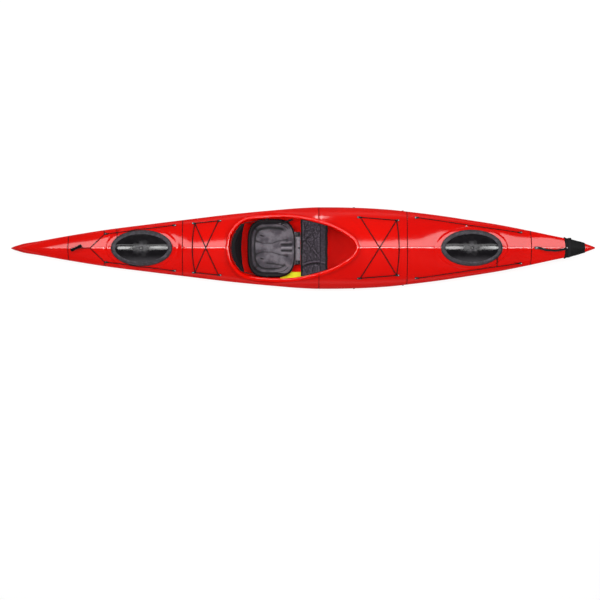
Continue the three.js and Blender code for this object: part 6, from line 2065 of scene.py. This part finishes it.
def make_sleeve(sizes, tints):
    rear, front = place_of(SLEEVE_REAR_SHARE), place_of(SLEEVE_FRONT_SHARE)
    fabric = dark_fabric("sleeve_fabric", linear(12, 12, 13), linear(20, 20, 21), 0.0012, 0.62)
    places = np.concatenate([[0, 0.01, 0.03], np.linspace(0.06, 0.95, 44), [0.985, 1.0]])
    outer, inner = [], []
    for t in places:
        lean = SLEEVE_LEAN * (1 - t)
        x = rear + (front - rear) * t
        hem = 0.0012 * sum(swell(t - at, 0.02) for at in (0.02, 0.985))
        outer.append(ring_at(x, -FIT_GAP - SLEEVE_THICKNESS - hem, lean, STEM_RISE))
        inner.append(ring_at(x, -FIT_GAP, lean, STEM_RISE))
    outer, inner = np.array(outer), np.array(inner)
    # wrinkles, and the two corners that stand out at its rear edge
    flat = outer.reshape(-1, 3)
    wrinkle = np.maximum(rolling_noise(flat * (1.0, 2.4, 2.4), 26.0, 7.0), -0.2)
    wrinkle = wrinkle.reshape(outer.shape[:2])
    ease = np.minimum(1, np.minimum(places, 1 - places) / 0.08)[:, None]
    middle = np.array([ring.mean(axis=0) for ring in outer])[:, None]
    away = outer - middle
    away[..., 0] = 0
    away /= np.maximum(np.linalg.norm(away, axis=2, keepdims=True), 1e-9)
    outer += away * (wrinkle * ease * sizes.wrinkle)[..., None]
    sheer = float(form_at(rear).sheer)
    for rows in (outer, inner):
        beside = swell(rows[..., 2] - sheer, 0.02)
        beside = beside * swell(places, 0.05)[:, None]
        rows[..., 1] += np.sign(rows[..., 1]) * beside * 0.006
        rows[..., 0] -= beside * 0.008
    sleeve = Mould().rings(np.concatenate([outer, inner[::-1]]), joined=True).cast(
        "nose_sleeve", [fabric], "bow_end", "webbing", "bow_sleeve", degrees=60,
    )
    girth, small = (
        np.linalg.norm(np.diff(ring, axis=0, append=ring[:1]), axis=1).sum()
        for ring in (outer[0], outer[-1])
    )
    long = front - rear + 0.02
    float((girth + small) / 2 * long)

    tape = webbing("sleeve_band", linear(20, 20, 22), "y")
    band_rear = rear + 0.022
    section = [
        (0.0, -0.0028), (0.0, -0.0046), (0.0012, -0.0053), (0.0168, -0.0053), (0.018, -0.0046),
        (0.018, -0.0028),
    ]
    mould = Mould().rings([
        ring_at(band_rear + run, inset, SLEEVE_LEAN, STEM_RISE) for run, inset in section
    ], joined=True)
    # the buckle on its port side
    beam = float(form_at(band_rear + 0.009).beam)
    inner, outer, low, high = beam + 0.002, beam + 0.0095, sheer + 0.006, sheer + 0.03
    mould.rings([
        [(x, inner + 0.001, low), (x, outer, low + 0.003), (x, outer, high - 0.003),
         (x, inner - 0.004, high)]
        for x in np.linspace(band_rear - 0.002, band_rear + 0.02, 5)
    ])
    mould.cast("sleeve_strap", [tape], "bow_end", "webbing")


def make_handle(sizes, tints):
    rear, front = place_of(HANDLE_REAR_SHARE), place_of(HANDLE_FRONT_SHARE)
    base = float(deck_height(rear, 0)) + FIT_GAP
    plate_top = base + HANDLE_PLATE_THICKNESS
    start = plate_top + FIT_GAP + HANDLE_THICKNESS / 2
    end = float(deck_height(front, 0)) + 2 * FIT_GAP + SLEEVE_THICKNESS + HANDLE_THICKNESS / 2
    shares = np.concatenate([[-HANDLE_FLAT_SHARE], np.linspace(0, 1, 60)])
    t = np.maximum(shares - HANDLE_FLAT_SHARE, 0) / (1 - HANDLE_FLAT_SHARE)
    arch = 4 * t * (1 - t)
    path = np.column_stack([
        rear + (front - rear) * shares, -HANDLE_SWAY * arch,
        start + (end - start) * t + HANDLE_RISE * arch,
    ])
    path[:, 1] += 0.0012 * np.sin(t * 19) * arch
    tilt = 0.5 * arch
    across = np.column_stack([0 * t, np.cos(tilt), np.sin(tilt)])
    strap = Mould().strip(path, across, sizes.handle_width / 2, HANDLE_THICKNESS * 0.8)
    tape = webbing("handle_webbing", linear(20, 20, 22), "x")
    strap.cast("bow_carry_strap", [tape], "bow_end", "webbing", "bow_handle")

    plates = Mould()
    turn = full_turn(48)
    plan = np.column_stack([
        HANDLE_PLATE_LENGTH / 2 * boxy(np.cos(turn), HANDLE_PLATE_CORNER_POWER),
        HANDLE_WIDTH / 2 * boxy(np.sin(turn), HANDLE_PLATE_CORNER_POWER),
    ])
    head = start + HANDLE_THICKNESS / 2
    for low, high, size in ((base - 0.003, plate_top, 1.0), (head - 0.0008, head + 0.0008, 0.86)):
        rows = []
        for shrink, z in ((1, low), (1, high - 0.0008), (0.96, high)):
            ring = plan * shrink * size + (rear, 0)
            if z == low and size == 1:
                # the lower plate reaches down to the deck
                z = np.minimum(deck_height(ring[:, 0], ring[:, 1]) - 0.0004, high - 0.001)
            rows.append(np.column_stack([ring, np.full(48, z)]))
        plates.rings(rows)
    screw = [
        (0.006, -0.002), (0.006, 0.0016), (0.005, 0.003), (0.0026, 0.0036), (0.0022, 0.0022),
        (0.0004, 0.0021),
    ]
    for x, z in ((rear, head), (front - 0.008, end + 0.0035)):
        plates.lathe((x, 0, z), (0, 0, 1), screw, 24, finish=1)
    plastic = black_plastic("plate_plastic", 0.4)
    steel = brushed_steel("handle_screw_steel", (0.45, 0.46, 0.48), 0.4)
    plates.cast("bow_strap_plates", [plastic, steel], "bow_end", "steel", "bow_handle_plate")


# Stage
def make_stage(sizes, tints):
    scene = bpy.context.scene
    lens = bpy.data.cameras.new("camera")
    lens.sensor_width, lens.lens = 36.0, CAMERA_LENS
    lens.clip_end = 90.0
    camera = bpy.data.objects.new("camera", lens)
    camera.location = CAMERA_PLACE
    scene.collection.objects.link(camera)
    scene.camera = camera
    scene.view_settings.view_transform = "Standard"

    # bright at the horizon, darker overhead
    scene.world = bpy.data.worlds.new("studio")
    sky = Finish("studio", scene.world)
    direction = sky.node("ShaderNodeTexCoord", output="Generated")
    height = sky.node("ShaderNodeSeparateXYZ", inputs={0: direction}, output="Z")
    stops = [(at, (grey, grey, grey, 1)) for at, grey in ((0.0, 0.5), (0.9, 0.03), (0.14, 0.1))]
    shades = sky.node("ShaderNodeValToRGB", {"stops": stops}, {0: height})
    backdrop = sky.node("ShaderNodeBackground", inputs={"Color": shades, "Strength": 1.0})
    sky.node("ShaderNodeOutputWorld", inputs={"Surface": backdrop}, output=None)

    mould = Mould()
    turn = full_turn(48)
    disc = [FLOOR_RADIUS * np.cos(turn), FLOOR_RADIUS * np.sin(turn), 0 * turn]
    mould.hub(mould.add(np.column_stack(disc)))
    finish = Finish("studio_floor")
    dust = finish.noise(3.0, 4.0)
    paper = finish.surface(
        base_color=finish.mix(dust, (0.15, 0.15, 0.15), (0.17, 0.17, 0.17)), roughness=0.9,
        specular_ior_level=0.0, emission_color=(1, 1, 1), emission_strength=0.88,
    )
    mould.build("studio_floor", paper)

    def softbox(name, place, aim, size, power, mirrored=True):
        lamp = bpy.data.lights.new(name, "AREA")
        lamp.shape = "ELLIPSE" if size[0] < 1 else "RECTANGLE"
        lamp.size, lamp.size_y, lamp.energy = *size, power
        light = bpy.data.objects.new(name, lamp)
        light.location = place
        light.rotation_euler = (Vector(aim) - Vector(place)).to_track_quat("-Z", "Y").to_euler()
        light.visible_camera = False
        light.visible_glossy = mirrored
        scene.collection.objects.link(light)

    softbox("port_softbox", (-0.4, 1.5, 3.2), (-0.4, 0, 0.2), (7.2, 1.6), 100)
    softbox("overhead_strip", (0, 0.1, 4.4), (0, 0.1, 0), (7.0, 0.4), 140)
    softbox("low_port_lamp", (0.075, 2.3, 0.57), (0.1, 0.25, 0.3), (0.2, 0.4), 2.4)
    softbox("starboard_fill", (0, -2.2, 3.4), (0, 0, 0.2), (7.0, 2.0), 52, False)
    softbox("overhead_fill", (0, 0, 5.0), (0, 0, 0), (6.0, 1.6), 70, False)


class KayakSizes(bpy.types.PropertyGroup):
    line: bpy.props.FloatProperty(
        name="Deck line", description="Diameter of the deck lines",
        unit="LENGTH", precision=4, min=0.002, max=0.01, default=0.0056,
    )
    bungee: bpy.props.FloatProperty(
        name="Bungee", description="Diameter of the bungee cords",
        unit="LENGTH", precision=4, min=0.002, max=0.01, default=0.0066,
    )
    tether: bpy.props.FloatProperty(
        name="Tether", description="Diameter of the tethers of the hatch covers",
        unit="LENGTH", precision=4, min=0.001, max=0.006, default=0.0044,
    )
    piping: bpy.props.FloatProperty(
        name="Piping", description="Diameter of the piping along the back band",
        unit="LENGTH", precision=4, min=0.002, max=0.008, default=0.0048,
    )
    seam_depth: bpy.props.FloatProperty(
        name="Seam depth", description="Depth of the seams in the seat pad",
        unit="LENGTH", precision=4, min=0.0, max=0.006, default=0.0028,
    )
    crease: bpy.props.FloatProperty(
        name="Creases", description="Height of the creases in the bag",
        unit="LENGTH", precision=4, min=0.0, max=0.01, default=0.0062,
    )
    wrinkle: bpy.props.FloatProperty(
        name="Wrinkles", description="Height of the wrinkles in the bow sleeve",
        unit="LENGTH", precision=4, min=0.0, max=0.005, default=0.0022,
    )
    button_height: bpy.props.FloatProperty(
        name="Button", description="Height of the button in the middle of a hatch cover",
        unit="LENGTH", precision=4, min=0.0, max=0.006, default=0.0024,
    )
    strap_width: bpy.props.FloatProperty(
        name="Strap width", description="Width of the straps of the back band",
        unit="LENGTH", precision=4, min=0.015, max=0.03, default=0.026,
    )
    handle_width: bpy.props.FloatProperty(
        name="Handle width", description="Width of the webbing of the bow handle",
        unit="LENGTH", precision=4, min=0.01, max=0.025, default=0.018,
    )
    toggle: bpy.props.FloatProperty(
        name="Toggle", description="Diameter of the carrying toggle",
        unit="LENGTH", precision=4, min=0.018, max=0.026, default=0.024,
    )


class KayakTints(bpy.types.PropertyGroup):
    hull: bpy.props.FloatVectorProperty(
        name="Hull", description="Colour of the hull and deck", subtype="COLOR", size=3,
        min=0, max=1, default=linear(203, 7, 0),
    )
    hull_deep: bpy.props.FloatVectorProperty(
        name="Hull, deeper", description="Second tone of the hull's plastic", subtype="COLOR",
        size=3, min=0, max=1, default=linear(196, 4, 0),
    )
    rubber: bpy.props.FloatVectorProperty(
        name="Hatch rubber", description="Colour of the hatch covers",
        subtype="COLOR", size=3, min=0, max=1, default=linear(36, 33, 38),
    )
    pad: bpy.props.FloatVectorProperty(
        name="Seat pad", description="Colour of the seat's fabric", subtype="COLOR", size=3,
        min=0, max=1, default=linear(60, 55, 63),
    )
    pan: bpy.props.FloatVectorProperty(
        name="Seat pan", description="Colour of the plastic under the seat", subtype="COLOR",
        size=3, min=0, max=1, default=linear(140, 134, 143),
    )
    bag: bpy.props.FloatVectorProperty(
        name="Bag", description="Colour of the bag across the cockpit", subtype="COLOR", size=3,
        min=0, max=1, default=linear(34, 26, 35),
    )
    block: bpy.props.FloatVectorProperty(
        name="Foam block", description="Colour of the foam block", subtype="COLOR", size=3,
        min=0, max=1, default=linear(250, 255, 46),
    )
    cord: bpy.props.FloatVectorProperty(
        name="Cords", description="Colour of the cords, the gaskets and the toggle",
        subtype="COLOR", size=3, min=0, max=1, default=linear(8, 7, 9),
    )


def carry_out(make, context):
    make(context.scene.kayak_sizes, context.scene.kayak_tints)
    return {"FINISHED"}


class KAYAK_OT_stage(bpy.types.Operator):
    """Sets up the floor, the light and the camera"""
    bl_idname = "kayak.stage"
    bl_label = "Stage"

    def execute(self, context):
        return carry_out(make_stage, context)


class KAYAK_OT_hull(bpy.types.Operator):
    """Builds the six hull sections with the coaming"""
    bl_idname = "kayak.hull"
    bl_label = "Hull sections"

    def execute(self, context):
        return carry_out(make_hull, context)


class KAYAK_OT_gaskets(bpy.types.Operator):
    """Builds the gaskets between the sections"""
    bl_idname = "kayak.gaskets"
    bl_label = "Gaskets"

    def execute(self, context):
        return carry_out(make_gaskets, context)


class KAYAK_OT_bulkheads(bpy.types.Operator):
    """Builds the two foam bulkheads"""
    bl_idname = "kayak.bulkheads"
    bl_label = "Bulkheads"

    def execute(self, context):
        return carry_out(make_bulkheads, context)


class KAYAK_OT_latches(bpy.types.Operator):
    """Finishes the latches that join the sections"""
    bl_idname = "kayak.latches"
    bl_label = "Latches"

    def execute(self, context):
        return carry_out(make_latches, context)


class KAYAK_OT_braces(bpy.types.Operator):
    """Finishes the foot braces and builds their bolt heads"""
    bl_idname = "kayak.braces"
    bl_label = "Foot braces"

    def execute(self, context):
        return carry_out(make_braces, context)


class KAYAK_OT_hatches(bpy.types.Operator):
    """Builds the two hatch covers and their collars"""
    bl_idname = "kayak.hatches"
    bl_label = "Hatches"

    def execute(self, context):
        return carry_out(make_hatches, context)


class KAYAK_OT_seat(bpy.types.Operator):
    """Builds the seat pad with its piping, bar and clips"""
    bl_idname = "kayak.seat"
    bl_label = "Seat"

    def execute(self, context):
        return carry_out(make_seat, context)


class KAYAK_OT_back_band(bpy.types.Operator):
    """Builds the back band, its piping and its straps"""
    bl_idname = "kayak.back_band"
    bl_label = "Back band"

    def execute(self, context):
        return carry_out(make_back_band, context)


class KAYAK_OT_bag(bpy.types.Operator):
    """Builds the bag slung across the cockpit and its bindings"""
    bl_idname = "kayak.bag"
    bl_label = "Bag"

    def execute(self, context):
        return carry_out(make_bag, context)


class KAYAK_OT_block(bpy.types.Operator):
    """Builds the foam block in the bilge"""
    bl_idname = "kayak.block"
    bl_label = "Foam block"

    def execute(self, context):
        return carry_out(make_block, context)


class KAYAK_OT_bungees(bpy.types.Operator):
    """Builds the bungees on both decks with their pad eyes"""
    bl_idname = "kayak.bungees"
    bl_label = "Bungees"

    def execute(self, context):
        return carry_out(make_bungees, context)


class KAYAK_OT_deck_lines(bpy.types.Operator):
    """Builds the lines past both hatches with their pad eyes"""
    bl_idname = "kayak.deck_lines"
    bl_label = "Deck lines"

    def execute(self, context):
        return carry_out(make_deck_lines, context)


class KAYAK_OT_tethers(bpy.types.Operator):
    """Builds the tethers of the hatch covers"""
    bl_idname = "kayak.tethers"
    bl_label = "Tethers"

    def execute(self, context):
        return carry_out(make_tethers, context)


class KAYAK_OT_toggle(bpy.types.Operator):
    """Builds the stern carrying toggle and its cord"""
    bl_idname = "kayak.toggle"
    bl_label = "Carrying toggle"

    def execute(self, context):
        return carry_out(make_toggle, context)


class KAYAK_OT_sleeve(bpy.types.Operator):
    """Builds the sleeve over the bow and the band round it"""
    bl_idname = "kayak.sleeve"
    bl_label = "Bow sleeve"

    def execute(self, context):
        return carry_out(make_sleeve, context)


class KAYAK_OT_handle(bpy.types.Operator):
    """Builds the bow carrying handle and its plates"""
    bl_idname = "kayak.handle"
    bl_label = "Bow handle"

    def execute(self, context):
        return carry_out(make_handle, context)


OPERATORS = [
    KAYAK_OT_stage, KAYAK_OT_hull, KAYAK_OT_gaskets, KAYAK_OT_bulkheads, KAYAK_OT_latches,
    KAYAK_OT_braces, KAYAK_OT_hatches, KAYAK_OT_seat, KAYAK_OT_back_band, KAYAK_OT_bag,
    KAYAK_OT_block, KAYAK_OT_bungees, KAYAK_OT_deck_lines, KAYAK_OT_tethers, KAYAK_OT_toggle,
    KAYAK_OT_sleeve, KAYAK_OT_handle,
]


class KAYAK_PT_panel(bpy.types.Panel):
    """Lists the pieces of the kayak, its sizes and its colours"""
    bl_idname = "KAYAK_PT_panel"
    bl_label = "Kayak"
    bl_space_type = "VIEW_3D"
    bl_region_type = "UI"
    bl_category = "Kayak"

    def draw(self, context):
        for size in KayakSizes.__annotations__:
            self.layout.prop(context.scene.kayak_sizes, size)
        for tint in KayakTints.__annotations__:
            self.layout.prop(context.scene.kayak_tints, tint)
        for operator in OPERATORS:
            self.layout.operator(operator.bl_idname)


def register():
    for kind in (KayakSizes, KayakTints, *OPERATORS, KAYAK_PT_panel):
        bpy.utils.register_class(kind)
    bpy.types.Scene.kayak_sizes = bpy.props.PointerProperty(type=KayakSizes)
    bpy.types.Scene.kayak_tints = bpy.props.PointerProperty(type=KayakTints)


def unregister():
    del bpy.types.Scene.kayak_tints
    del bpy.types.Scene.kayak_sizes
    for kind in reversed((KayakSizes, KayakTints, *OPERATORS, KAYAK_PT_panel)):
        bpy.utils.unregister_class(kind)


def main():
    register()
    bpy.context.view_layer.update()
    for operator in OPERATORS:
        group, name = operator.bl_idname.split(".")
        getattr(getattr(bpy.ops, group), name)()


if __name__ == "__main__":
    main()
